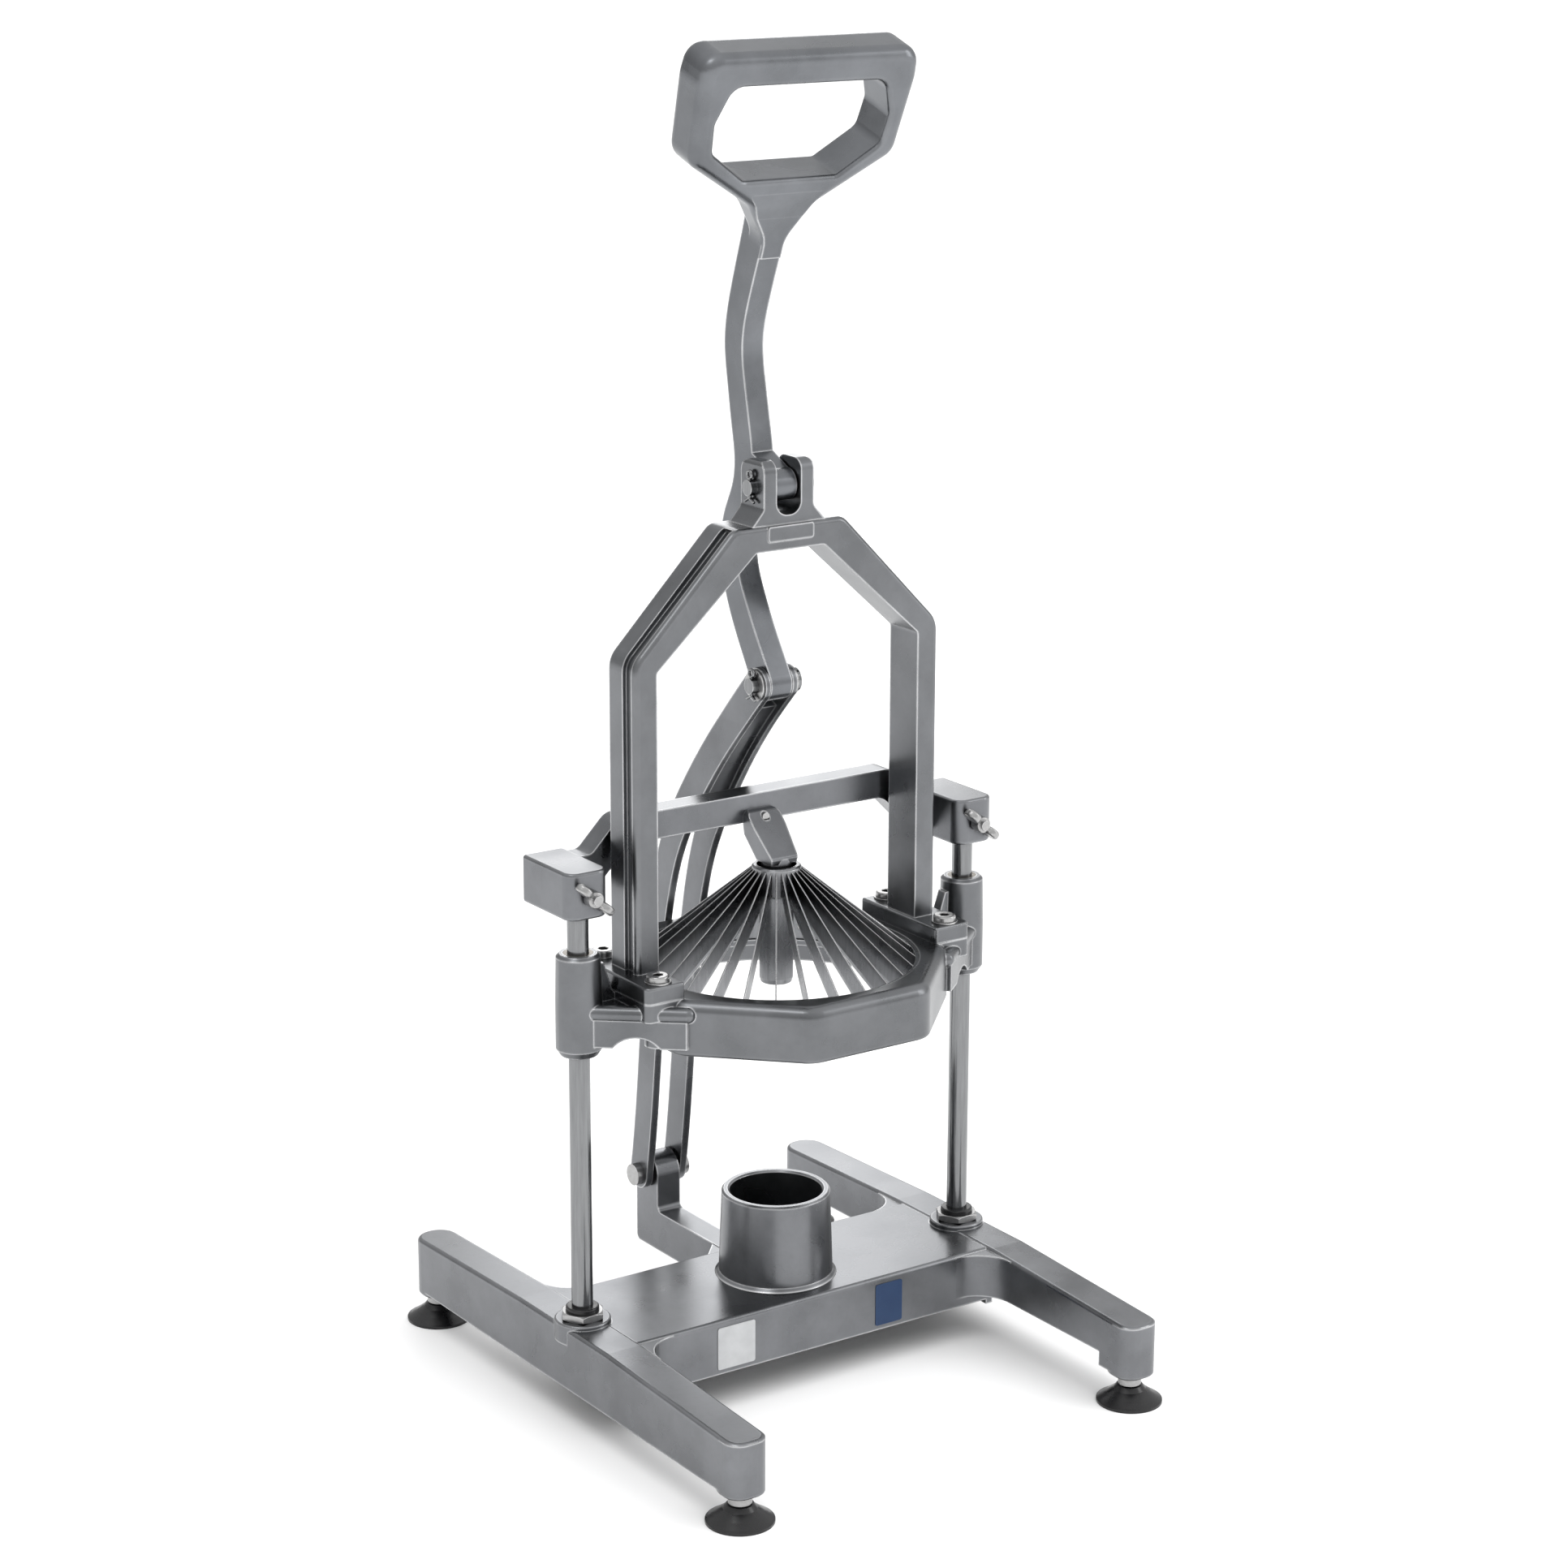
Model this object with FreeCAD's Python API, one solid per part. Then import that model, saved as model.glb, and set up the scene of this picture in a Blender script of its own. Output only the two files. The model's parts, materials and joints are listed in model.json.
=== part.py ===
import FreeCAD, Part
import math
import os

# A lever-operated vegetable dicer of the blossom-cutting kind, in millimetres.
# X runs along the crossbar, Y from the operator's side to the tail, Z upwards.
# The origin is on the table, midway between the two guide rods.
# The lever is up and the carriage is parked at the top of its stroke.

V = FreeCAD.Vector

# Guide rods
ROD_SPACING = 279.4
ROD_D = 12.7
ROD_BOTTOM = 26.0
ROD_CHAMFER = 1.0
SLIDE_CLEARANCE = 0.05

# Base casting
RAIL_W = 26.0
RAIL_FRONT = -185.0
RAIL_REAR = 183.5
RAIL_TOP = 59.3
RAIL_FRONT_DROP = 6.3
RAIL_REAR_DROP = 3.8
RAIL_BOTTOM = 21.0
RAIL_INNER_BOTTOM = 30.0
RAIL_FRONT_R = 10.0
RAIL_REAR_R = 12.9
RAIL_OVERHANG = 15.3
CASTING_WALL = 5.0
CASTING_EDGE_R = 2.5
PLATE_DEPTH = 92.0
PLATE_TOP = 58.5
PLATE_BOTTOM = 24.0
PLATE_CORNER_R = 24.0
ROD_BOSS_R = 17.0
ROD_BOSS_H = 2.7
ROD_COLUMN_WALL = 5.65
ROD_COLUMN_BOTTOM = 36.0
NUT_POCKET_GAP = 1.1
TAIL_W = 17.0
TAIL_FLARE = 12.0
TAIL_BEND_R = 4.0
TAIL_BOTTOM = 32.0
TAIL_EAR_DEPTH = 25.0
TAIL_PIVOT_Y = 134.0
TAIL_PIVOT_Z = 82.0
TAIL_HOLE_R = 4.2
TAIL_SCREW_PLAY = 0.2

# Rod fastenings on the base
NUT_WALL = 5.65
END_NUT_WALL = 3.15
TOP_NUT_H = 4.5
BUMPER_WALL = 3.65
BUMPER_H = 3.0
END_NUT_H = 6.5
END_WASHER_H = 1.5
END_WASHER_WALL = 5.15

# Feet
FOOT_Y_FRONT = -171.8
FOOT_Y_REAR = 171.8
FOOT_CUP_R = 20.0
FOOT_CUP_H = 11.0
FOOT_CUP_LIP = 1.6
FOOT_COLLAR_R = 7.0
FOOT_POST_BOTTOM = 18.5
FOOT_POST_LENGTH = 28.0
FOOT_STUD_R = 4.0
FOOT_STUD_DEPTH = 14.0

# Cup post
CUP_BOTTOM_R = 35.2
CUP_TOP_R = 33.4
CUP_H = 54.5
CUP_WALL = 5.0
CUP_FLOOR = 12.0
CUP_FOOT_R = 2.4
CUP_RIM_BEVEL = 1.2
CUP_SCREW_R = 4.0

# Labels, left blank
LABEL_T = 0.4
LABEL_WIDE = (-60.0, 27.0, 27.0)
LABEL_NARROW = (53.0, 20.0, 27.0)
LABEL_Z = 40.5

# Yoke
YOKE_BOTTOM = 313.5
YOKE_BLOCK_H = 28.5
YOKE_BLOCK_WALL = 7.65
YOKE_BLOCK_REAR = 39.0
YOKE_FRONT_R = 8.0
YOKE_EDGE_R = 1.8
YOKE_ROD_DEPTH = 24.5
CROSSBAR_FRONT = 19.0
CROSSBAR_DEPTH = 16.0
CROSSBAR_BOTTOM = 343.0
CROSSBAR_H = 17.3
CROSSBAR_INSET = 47.7
ARM_DROP = 26.0
YOKE_ARM_T = 17.0
ARM_BEND_R = 12.0
WING_SCREW_Z = 327.0
WING_SCREW_R = 3.0
WING_COLLAR_R = 5.0
WING_COLLAR_H = 8.0
WING_SPAN = 15.0
WING_LOBE_R = 5.5
WING_T = 5.0
WING_EDGE_R = 1.8
WING_TURN_DEG = 42.0

# Core ejector
EJECTOR_W = 23.0
EJECTOR_TIP_R = 9.0
EJECTOR_TIP_BOTTOM = 314.0
EJECTOR_TOP = 351.0
EJECTOR_PROUD = 4.5
EJECTOR_GAP = 1.5

# Carriage
RING_APOTHEM = 99.0
RING_TOP = 263.5
RING_BOTTOM = 230.0
RING_CORNER_R = 17.0
RING_SHOULDER_R = 7.0
RING_EDGE_R = 2.2
RING_BORE_R = 86.3
RING_LEDGE_R = 82.5
RING_LEDGE_H = 4.0
RING_SKIRT_R = 91.5
RING_SCREW_DEG = (45, 90, 135)
HOUSING_WALL = 6.85
HOUSING_BEVEL = 2.0
HOUSING_FLARE = 0.6
HOUSING_TOP = 290.0
HOUSING_BOTTOM = 228.0
BUSHING_WALL = 2.65
BUSHING_H = 20.0
ARM_TOP = 260.2
ARM_T = 6.0
GUSSET_T = 7.0
ARM_RIB_R = 4.7
ARM_END_Y = 46.0
ARM_END_INSET = 45.7
ARM_WALL_BOTTOM = 235.0
ARM_ARCH_R = 18.0
ARM_ARCH_RISE = 6.6
ARM_LUG_R = 8.0
PAD_TOP = 263.5

# Blades
BLADE_COUNT = 28
BLADE_START_DEG = 3.97
BLADE_T = 0.8
BLADE_H = 16.0
HUB_R = 15.0
HUB_BORE_R = 12.0
HUB_TOP = 320.5
HUB_H = 18.0
HUB_BEVEL = 1.1
HUB_RECESS = 8.0
CORE_TUBE_R = 10.3
CORE_TUBE_BORE_R = 9.1
CORE_TUBE_BOTTOM = 247.0
BLADE_RING_T = 2.4

# Arch frame
ARCH_INSET = 46.7
ARCH_LEG_W = 15.0
ARCH_DEPTH = 28.0
ARCH_SHOULDER_Z = 453.0
ARCH_CROWN_Z = 515.0
ARCH_CROWN_T = 15.0
ARCH_CROWN_OUTER = 38.5
ARCH_SHOULDER_RISE = 6.0
ARCH_RIM_R = 3.0
ARCH_CROWN_HALF = 24.0
ARCH_FOOT_W = 26.0
ARCH_FOOT_TOE = 2.0
ARCH_FOOT_LENGTH = 78.0
ARCH_FOOT_H = 10.0
ARCH_FOOT_R = 1.5
ARCH_BOLT_Y = 30.0
ARCH_BOLT_R = 4.0
ARCH_BOLT_HEAD_R = 6.8
ARCH_BOLT_HEAD_H = 3.6
ARCH_BOLT_SOCKET = 4.8
ARCH_WASHER_R = 8.0
ARCH_WASHER_T = 1.0
ARCH_GROOVE_DEPTH = 2.6
ARCH_GROOVE_W = 9.0
PLAQUE_W = 32.0
PLAQUE_H = 9.0
PLAQUE_T = 0.7
PLAQUE_R = 1.5

# Clevis on the arch, and its pin
PIVOT_Z = 551.0
LEVER_PLAY = 1.0
CLEVIS_EAR_T = 9.0
CLEVIS_DEPTH = 24.0
CLEVIS_TOP = 567.0
CLEVIS_SLOT_BOTTOM = 535.0
PIN_R = 4.75
PIN_HEAD_R = 7.5
PIN_HEAD_H = 3.5
PIN_TAIL = 4.0
COTTER_R = 1.2
WASHER_T = 1.5
WASHER_R = 9.5

# Lever
LEVER_W = 15.0
LEVER_HUB_R = 9.5
LEVER_BUSH_R = 6.5
LINK_PIN_Y = 5.0
LINK_PIN_Z = 431.0
GRIP_LEAN_DEG = 20.0
GRIP_BASE_Y = 35.0
GRIP_BASE_Z = 636.0
GRIP_TOP = 180.5
GRIP_DEPTH = 29.0
GRIP_HALF_W = 74.0
GRIP_BAR = 19.0
GRIP_EDGE_R = 7.0
GRIP_WINDOW_R = 3.0
GRIP_WINDOW_LOW = 104.0
GRIP_WINDOW_HALF = 32.0
GRIP_WEB_REAR = 4.0
GRIP_SIDE = 14.5

# Link fork
LINK_PLAY = 0.3
LINK_TOP_R = 10.5
LINK_FOOT_R = 9.5
LINK_PLATE_T = 3.6
TAIL_PLAY = 1.5
LINK_LEG_T = 5.0
LINK_WEB_T = 5.0
LINK_WEB_RECESS = 4.0
LINK_WEB_START = 18.0
LINK_SPREAD_LOW = 321.0
LINK_SPREAD_HIGH = 402.0
TAIL_SCREW_HEAD_R = 7.0
TAIL_SCREW_HEAD_H = 4.5

ROD_X = ROD_SPACING / 2
RAIL_OUTER = ROD_X + RAIL_OVERHANG
RAIL_INNER = RAIL_OUTER - RAIL_W
ROD_R = ROD_D / 2
ROD_COLUMN_R = ROD_R + ROD_COLUMN_WALL
END_NUT_FLATS = ROD_D + 2 * END_NUT_WALL
NUT_FLATS = ROD_D + 2 * NUT_WALL
BUMPER_R = ROD_R + BUMPER_WALL
END_WASHER_R = ROD_R + END_WASHER_WALL
NUT_POCKET_R = END_WASHER_R + NUT_POCKET_GAP
YOKE_BLOCK_R = ROD_R + YOKE_BLOCK_WALL
HOUSING_R = ROD_R + HOUSING_WALL
BUSHING_R = ROD_R + BUSHING_WALL
CROSSBAR_HALF = ROD_X - CROSSBAR_INSET
ARCH_INNER_HALF = ROD_X - ARCH_INSET
ARCH_FOOT_INNER = ARCH_INNER_HALF - ARCH_FOOT_TOE
CLEVIS_SLOT_W = LEVER_W + 2 * LEVER_PLAY
LINK_TOP_GAP = LEVER_W + 2 * LINK_PLAY
LINK_LEG_GAP = TAIL_W + 2 * TAIL_PLAY
TAIL_SCREW_R = TAIL_HOLE_R - TAIL_SCREW_PLAY
RAIL_END_RADII = [RAIL_FRONT_R, RAIL_FRONT_R, RAIL_REAR_R, RAIL_REAR_R]
PLATE_FRONT = -PLATE_DEPTH / 2
PLATE_REAR = PLATE_DEPTH / 2
BOSS_TOP = RAIL_TOP + ROD_BOSS_H
NUT_TOP = BOSS_TOP + TOP_NUT_H
ROD_TOP = YOKE_BOTTOM + YOKE_ROD_DEPTH
CUP_TOP = PLATE_TOP + CUP_H
SIDES = {"left": -1, "right": 1}


def box(x0, x1, y0, y1, z0, z1):
    return Part.makeBox(x1 - x0, y1 - y0, z1 - z0, V(x0, y0, z0))


def rod(radius, start, end):
    """A cylinder between two points."""
    axis = end - start
    return Part.makeCylinder(radius, axis.Length, start, axis)


def upright(radius, x, y, z0, z1):
    return rod(radius, V(x, y, z0), V(x, y, z1))


def crosswise(radius, x0, x1, y, z):
    return rod(radius, V(x0, y, z), V(x1, y, z))


def fuse(first, *others):
    """Join overlapping solids into one clean solid."""
    return first.fuse(list(others)).removeSplitter()


def mirrored(shape):
    return shape.mirror(V(0, 0, 0), V(1, 0, 0))


def both_sides(shape):
    return [shape, mirrored(shape)]


def corner_arc(before, corner, after, radius):
    """The tangent points and middle of the arc that rounds a corner."""
    back = (before - corner).normalize()
    forth = (after - corner).normalize()
    half = back.getAngle(forth) / 2
    reach = radius / math.tan(half)
    inward = (back + forth).normalize()
    middle = corner + inward * (radius / math.sin(half) - radius)
    return corner + back * reach, middle, corner + forth * reach


def outline(corners, radii):
    """A closed flat wire through the corners; a radius of 0 leaves a corner sharp."""
    if not isinstance(radii, (list, tuple)):
        radii = [radii] * len(corners)
    stretches = []
    for i, corner in enumerate(corners):
        before = corners[i - 1]
        after = corners[(i + 1) % len(corners)]
        if radii[i]:
            stretches.append(corner_arc(before, corner, after, radii[i]))
        else:
            stretches.append((corner,))
    edges = []
    for i, points in enumerate(stretches):
        if len(points) == 3:
            edges.append(Part.Arc(*points).toShape())
        start = points[-1]
        end = stretches[(i + 1) % len(stretches)][0]
        if (end - start).Length > 1e-6:
            edges.append(Part.LineSegment(start, end).toShape())
    return Part.Wire(edges)


def prism(corners, radii, way):
    """A flat outline pushed along a vector."""
    return Part.Face(outline(corners, radii)).extrude(way)


def mirrored_points(half):
    """An outline's right half with the same points mirrored to the left."""
    return half + [(-x, other) for x, other in reversed(half)]


def profile_x(points, radii, x0, x1):
    """An outline in Y and Z, from x0 to x1."""
    return prism([V(x0, y, z) for y, z in points], radii, V(x1 - x0, 0, 0))


def profile_y(points, radii, y0, y1):
    """An outline in X and Z, from y0 to y1."""
    return prism([V(x, y0, z) for x, z in points], radii, V(0, y1 - y0, 0))


def profile_z(points, radii, z0, z1):
    """An outline in X and Y, from z0 to z1."""
    return prism([V(x, y, z0) for x, y in points], radii, V(0, 0, z1 - z0))


def turned(points, x, y):
    """A half section in radius and height, turned about an upright axis."""
    wire = Part.makePolygon([V(x + r, y, z) for r, z in points + points[:1]])
    return Part.Face(wire).revolve(V(x, y, 0), V(0, 0, 1), 360)


def round_edges(shape, radius, wanted):
    """Round the edges that a test on each edge picks."""
    return shape.makeFillet(radius, [edge for edge in shape.Edges if wanted(edge)])


def at_height(z):
    """A test for edges that lie flat at one height."""
    return lambda edge: all(abs(v.Z - z) < 1e-4 for v in edge.Vertexes) and is_flat(edge, z)


def is_flat(edge, z):
    middle = edge.valueAt((edge.FirstParameter + edge.LastParameter) / 2)
    return abs(middle.z - z) < 1e-4


def hexagon(flats, x, y, z0, z1):
    """A hexagonal prism with lightly chamfered ends."""
    corner_r = flats / math.sqrt(3)
    angles = [math.radians(60 * i) for i in range(6)]
    points = [(x + corner_r * math.cos(a), y + corner_r * math.sin(a)) for a in angles]
    body = profile_z(points, 0, z0, z1)
    slope = corner_r - flats / 2
    cone = turned([(0, z0), (flats / 2, z0), (corner_r, z0 + slope / 2),
                   (corner_r, z1 - slope / 2), (flats / 2, z1), (0, z1)], x, y)
    return body.common(cone)


def ring(outer, inner, x, y, z0, z1):
    return upright(outer, x, y, z0, z1).cut(upright(inner, x, y, z0 - 1, z1 + 1))


def washer_x(outer, inner, x0, x1, y, z):
    return crosswise(outer, x0, x1, y, z).cut(crosswise(inner, x0 - 1, x1 + 1, y, z))


# ---------------------------------------------------------------- base

def rail_top_line():
    """The rail's top edge from front to rear, highest across the plate."""
    return [(RAIL_FRONT, RAIL_TOP - RAIL_FRONT_DROP), (PLATE_FRONT - 4, RAIL_TOP),
            (PLATE_REAR + 4, RAIL_TOP), (RAIL_REAR, RAIL_TOP - RAIL_REAR_DROP)]


def rail_shell():
    """The right side rail, solid, with rounded ends and top edges."""
    side = [(RAIL_FRONT, RAIL_BOTTOM)] + rail_top_line() + [(RAIL_REAR, RAIL_BOTTOM)]
    tall = profile_x(side, 0, RAIL_INNER, RAIL_OUTER)
    plan = [(RAIL_INNER, RAIL_FRONT), (RAIL_OUTER, RAIL_FRONT),
            (RAIL_OUTER, RAIL_REAR), (RAIL_INNER, RAIL_REAR)]
    rail = tall.common(profile_z(plan, RAIL_END_RADII, 0, RAIL_TOP + 1))
    lowest_top = RAIL_TOP - RAIL_FRONT_DROP - 1
    def is_top(edge):
        return all(v.Z > lowest_top for v in edge.Vertexes) and not is_crease(edge)
    return round_edges(rail, CASTING_EDGE_R, is_top)


def is_crease(edge):
    """An edge that runs straight across the rail's top, where its slope changes."""
    return abs(edge.Vertexes[0].X - edge.Vertexes[-1].X) > RAIL_W - 1


def rail_hollow():
    """The open channel under the right rail."""
    side = [(RAIL_FRONT + CASTING_WALL, 0)]
    inward = 1 - CASTING_WALL / abs(RAIL_FRONT)
    side += [(y * inward, z - CASTING_WALL - 1) for y, z in rail_top_line()]
    side += [(RAIL_REAR - CASTING_WALL, 0)]
    return profile_x(side, 0, RAIL_INNER + CASTING_WALL, RAIL_OUTER - CASTING_WALL)


def foot_post(y):
    """The solid block in a rail's end that takes a foot stud."""
    half = FOOT_POST_LENGTH / 2
    front = max(y - half, RAIL_FRONT)
    rear = min(y + half, RAIL_REAR)
    plan = [(RAIL_INNER, front), (RAIL_OUTER, front), (RAIL_OUTER, rear), (RAIL_INNER, rear)]
    body = profile_z(plan, RAIL_END_RADII, FOOT_POST_BOTTOM, RAIL_TOP - RAIL_FRONT_DROP - 1)
    return round_edges(body, 1.5, at_height(FOOT_POST_BOTTOM))


def low_inner_cut(y0, y1):
    """Trims the rail's inner wall, which is shorter than its outer one."""
    return box(RAIL_INNER - 1, RAIL_INNER + CASTING_WALL + 1, y0, y1, 0, RAIL_INNER_BOTTOM)


def right_rail():
    rail = rail_shell().cut(rail_hollow())
    half = FOOT_POST_LENGTH / 2
    rail = rail.cut(low_inner_cut(FOOT_Y_FRONT + half, PLATE_FRONT))
    rail = rail.cut(low_inner_cut(PLATE_REAR, FOOT_Y_REAR - half))
    column = upright(ROD_COLUMN_R, ROD_X, 0, ROD_COLUMN_BOTTOM, RAIL_TOP - 1)
    boss = upright(ROD_BOSS_R, ROD_X, 0, RAIL_TOP - CASTING_WALL * 2, BOSS_TOP)
    boss = round_edges(boss, 1.2, at_height(BOSS_TOP))
    return fuse(rail, column, boss, foot_post(FOOT_Y_FRONT), foot_post(FOOT_Y_REAR))


def plan_corner(side_y):
    """The filled, rounded corner between the plate and the right rail."""
    edge = PLATE_REAR * side_y
    x0 = RAIL_INNER - PLATE_CORNER_R
    y_far = edge + PLATE_CORNER_R * side_y
    y0, y1 = sorted((edge - side_y, y_far))
    block = box(x0, RAIL_INNER + CASTING_WALL, y0, y1, RAIL_INNER_BOTTOM, PLATE_TOP - 1)
    return block.cut(upright(PLATE_CORNER_R, x0, y_far, 0, RAIL_TOP))


def cross_plate():
    x = RAIL_INNER + CASTING_WALL - 1
    plate = box(-x, x, PLATE_FRONT, PLATE_REAR, PLATE_BOTTOM, PLATE_TOP)
    plate = round_edges(plate, CASTING_EDGE_R, lambda e: at_height(PLATE_TOP)(e) and is_long(e, x))
    inside = RAIL_INNER - 1
    hollow = box(-inside, inside, PLATE_FRONT + CASTING_WALL, PLATE_REAR - CASTING_WALL,
                 0, PLATE_TOP - CASTING_WALL)
    return plate.cut(hollow)


def is_long(edge, length):
    return edge.Length > length


def tail():
    """The bar behind the plate, with the upright ear for the link's pivot."""
    half, flare = TAIL_EAR_DEPTH / 2, TAIL_FLARE
    front, rear = TAIL_PIVOT_Y - half, TAIL_PIVOT_Y + half
    ear_top = TAIL_PIVOT_Z + half
    side = [(PLATE_REAR - 2, TAIL_BOTTOM), (rear, TAIL_BOTTOM), (rear, ear_top),
            (front, ear_top), (front, PLATE_TOP), (PLATE_REAR - 2, PLATE_TOP)]
    bar = profile_x(side, [0, 4, half - 0.01, half - 0.01, TAIL_BEND_R, 0], -TAIL_W / 2, TAIL_W / 2)
    plan = mirrored_points([(TAIL_W / 2, PLATE_REAR + flare), (TAIL_W / 2 + flare, PLATE_REAR - 1)])
    return fuse(bar, profile_z(plan, 0, PLATE_TOP - CASTING_WALL, PLATE_TOP - 0.4))


def base_casting():
    boss = upright(CUP_SCREW_R + 6, 0, 0, PLATE_TOP - CASTING_WALL - 10, PLATE_TOP - 1)
    parts = both_sides(right_rail()) + both_sides(plan_corner(1)) + both_sides(plan_corner(-1))
    body = fuse(cross_plate(), boss, tail(), *parts)
    inside = PLATE_REAR - CASTING_WALL
    for sign in SIDES.values():
        under = box(-ROD_COLUMN_R - 1, RAIL_INNER - ROD_X + CASTING_WALL + 1,
                    -inside, inside, 0, PLATE_TOP - CASTING_WALL)
        under = under.cut(upright(ROD_COLUMN_R, 0, 0, ROD_COLUMN_BOTTOM, ROD_TOP))
        under.translate(V(ROD_X, 0, 0))
        body = body.cut(under if sign > 0 else mirrored(under))
        body = body.cut(upright(NUT_POCKET_R, sign * ROD_X, 0, 0, ROD_COLUMN_BOTTOM))
        body = body.cut(upright(ROD_R, sign * ROD_X, 0, 0, BOSS_TOP + 1))
        for y in (FOOT_Y_FRONT, FOOT_Y_REAR):
            top = FOOT_POST_BOTTOM + FOOT_STUD_DEPTH
            body = body.cut(upright(FOOT_STUD_R, sign * foot_x(), y, 0, top))
    body = body.cut(upright(CUP_SCREW_R, 0, 0, 0, PLATE_TOP + 1))
    return body.cut(crosswise(TAIL_HOLE_R, -TAIL_W, TAIL_W, TAIL_PIVOT_Y, TAIL_PIVOT_Z))


def foot_x():
    return (RAIL_OUTER + RAIL_INNER) / 2


def guide_rod(sign):
    shaft = upright(ROD_R, sign * ROD_X, 0, ROD_BOTTOM, ROD_TOP)
    ends = [e for e in shaft.Edges if at_height(ROD_TOP)(e) or at_height(ROD_BOTTOM)(e)]
    return shaft.makeChamfer(ROD_CHAMFER, ends)


def rod_top_nut(sign):
    nut = hexagon(NUT_FLATS, sign * ROD_X, 0, BOSS_TOP, NUT_TOP)
    return nut.cut(upright(ROD_R, sign * ROD_X, 0, 0, ROD_TOP))


def rod_bumper(sign):
    body = ring(BUMPER_R, ROD_R, sign * ROD_X, 0, NUT_TOP, NUT_TOP + BUMPER_H)
    top = at_height(NUT_TOP + BUMPER_H)
    return round_edges(body, 1.0, lambda e: top(e) and e.Length > 6 * BUMPER_R)


def rod_end_washer(sign):
    low = ROD_COLUMN_BOTTOM - END_WASHER_H
    return ring(END_WASHER_R, ROD_R, sign * ROD_X, 0, low, ROD_COLUMN_BOTTOM)


def rod_end_nut(sign):
    top = ROD_COLUMN_BOTTOM - END_WASHER_H
    nut = hexagon(END_NUT_FLATS, sign * ROD_X, 0, top - END_NUT_H, top)
    return nut.cut(upright(ROD_R, sign * ROD_X, 0, 0, ROD_TOP))


def foot_cup(sign, y):
    """A domed rubber suction cup, hollow underneath."""
    r, h, lip = FOOT_CUP_R, FOOT_CUP_H, FOOT_CUP_LIP
    neck = FOOT_COLLAR_R + 0.8
    section = [(r, 0), (r, lip), (r * 0.93, lip + 0.8), (r * 0.72, h * 0.47), (r * 0.5, h * 0.76),
               (neck, h), (0, h), (0, h * 0.45), (r * 0.35, h * 0.4), (r * 0.7, h * 0.16),
               (r * 0.9, 0)]
    return turned(section, sign * foot_x(), y).cut(
        upright(FOOT_STUD_R, sign * foot_x(), y, h * 0.6, h + 1))


def foot_stud(sign, y):
    """A collar under the post with a threaded stud into the post and the rubber."""
    x = sign * foot_x()
    collar = upright(FOOT_COLLAR_R, x, y, FOOT_CUP_H, FOOT_POST_BOTTOM)
    ends = [at_height(FOOT_CUP_H), at_height(FOOT_POST_BOTTOM)]
    collar = round_edges(collar, 0.8, lambda e: any(end(e) for end in ends))
    stud = upright(FOOT_STUD_R, x, y, FOOT_CUP_H * 0.6, FOOT_POST_BOTTOM + FOOT_STUD_DEPTH - 1)
    return fuse(collar, stud)


def cup_post():
    """The tapered, hollow post that the vegetable stands on."""
    foot = CUP_FOOT_R
    floor = PLATE_TOP + CUP_FLOOR
    bore, edge = CUP_TOP_R - CUP_WALL, CUP_RIM_BEVEL
    section = [(CUP_SCREW_R, PLATE_TOP), (CUP_BOTTOM_R + foot, PLATE_TOP),
               (CUP_BOTTOM_R, PLATE_TOP + foot), (CUP_TOP_R, CUP_TOP - edge),
               (CUP_TOP_R - edge, CUP_TOP), (bore + edge, CUP_TOP), (bore, CUP_TOP - edge),
               (bore, floor), (CUP_SCREW_R, floor)]
    return turned(section, 0, 0)


def cup_screw():
    """Hex screw and washer from under the plate into the cup post's floor."""
    seat = PLATE_TOP - CASTING_WALL - 10
    shank = upright(CUP_SCREW_R, 0, 0, seat - 1, PLATE_TOP + CUP_FLOOR - 2)
    washer = upright(CUP_SCREW_R * 2.1, 0, 0, seat - WASHER_T, seat)
    return fuse(shank, washer, hexagon(13.0, 0, 0, seat - 7, seat - WASHER_T))


def label(place):
    """A blank stick-on label on the plate's front wall."""
    x, width, height = place
    plan = [(x - width / 2, LABEL_Z - height / 2), (x + width / 2, LABEL_Z - height / 2),
            (x + width / 2, LABEL_Z + height / 2), (x - width / 2, LABEL_Z + height / 2)]
    return profile_y(plan, 1.5, PLATE_FRONT - LABEL_T, PLATE_FRONT)


# ---------------------------------------------------------------- yoke

def yoke_block():
    """The right end block, bored from below for the rod's top end."""
    left, right = ROD_X - YOKE_BLOCK_R, ROD_X + YOKE_BLOCK_R
    plan = [(left, -YOKE_BLOCK_R), (right, -YOKE_BLOCK_R),
            (right, YOKE_BLOCK_REAR), (left, YOKE_BLOCK_REAR)]
    radii = [YOKE_FRONT_R, YOKE_FRONT_R, 2.5, 2.5]
    top = YOKE_BOTTOM + YOKE_BLOCK_H
    body = profile_z(plan, radii, YOKE_BOTTOM, top)
    return round_edges(body, YOKE_EDGE_R, lambda e: at_height(top)(e) or at_height(YOKE_BOTTOM)(e))


def crossbar():
    """The straight bar behind the arch with an arm down to each block."""
    low, high = CROSSBAR_BOTTOM, CROSSBAR_BOTTOM + CROSSBAR_H
    block = ROD_X - YOKE_BLOCK_R + 3
    block_top = YOKE_BOTTOM + YOKE_BLOCK_H - 1
    top_line = CROSSBAR_HALF + low + YOKE_ARM_T * math.sqrt(2)
    half = [(CROSSBAR_HALF, low), (CROSSBAR_HALF + ARM_DROP, low - ARM_DROP),
            (block, low - ARM_DROP), (block, block_top),
            (top_line - block_top, block_top), (top_line - high, high)]
    points = mirrored_points(half)
    radii = [ARM_BEND_R, 4, 0, 0, 6, ARM_BEND_R]
    radii += radii[::-1]
    return profile_y(points, radii, CROSSBAR_FRONT, CROSSBAR_FRONT + CROSSBAR_DEPTH)


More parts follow.
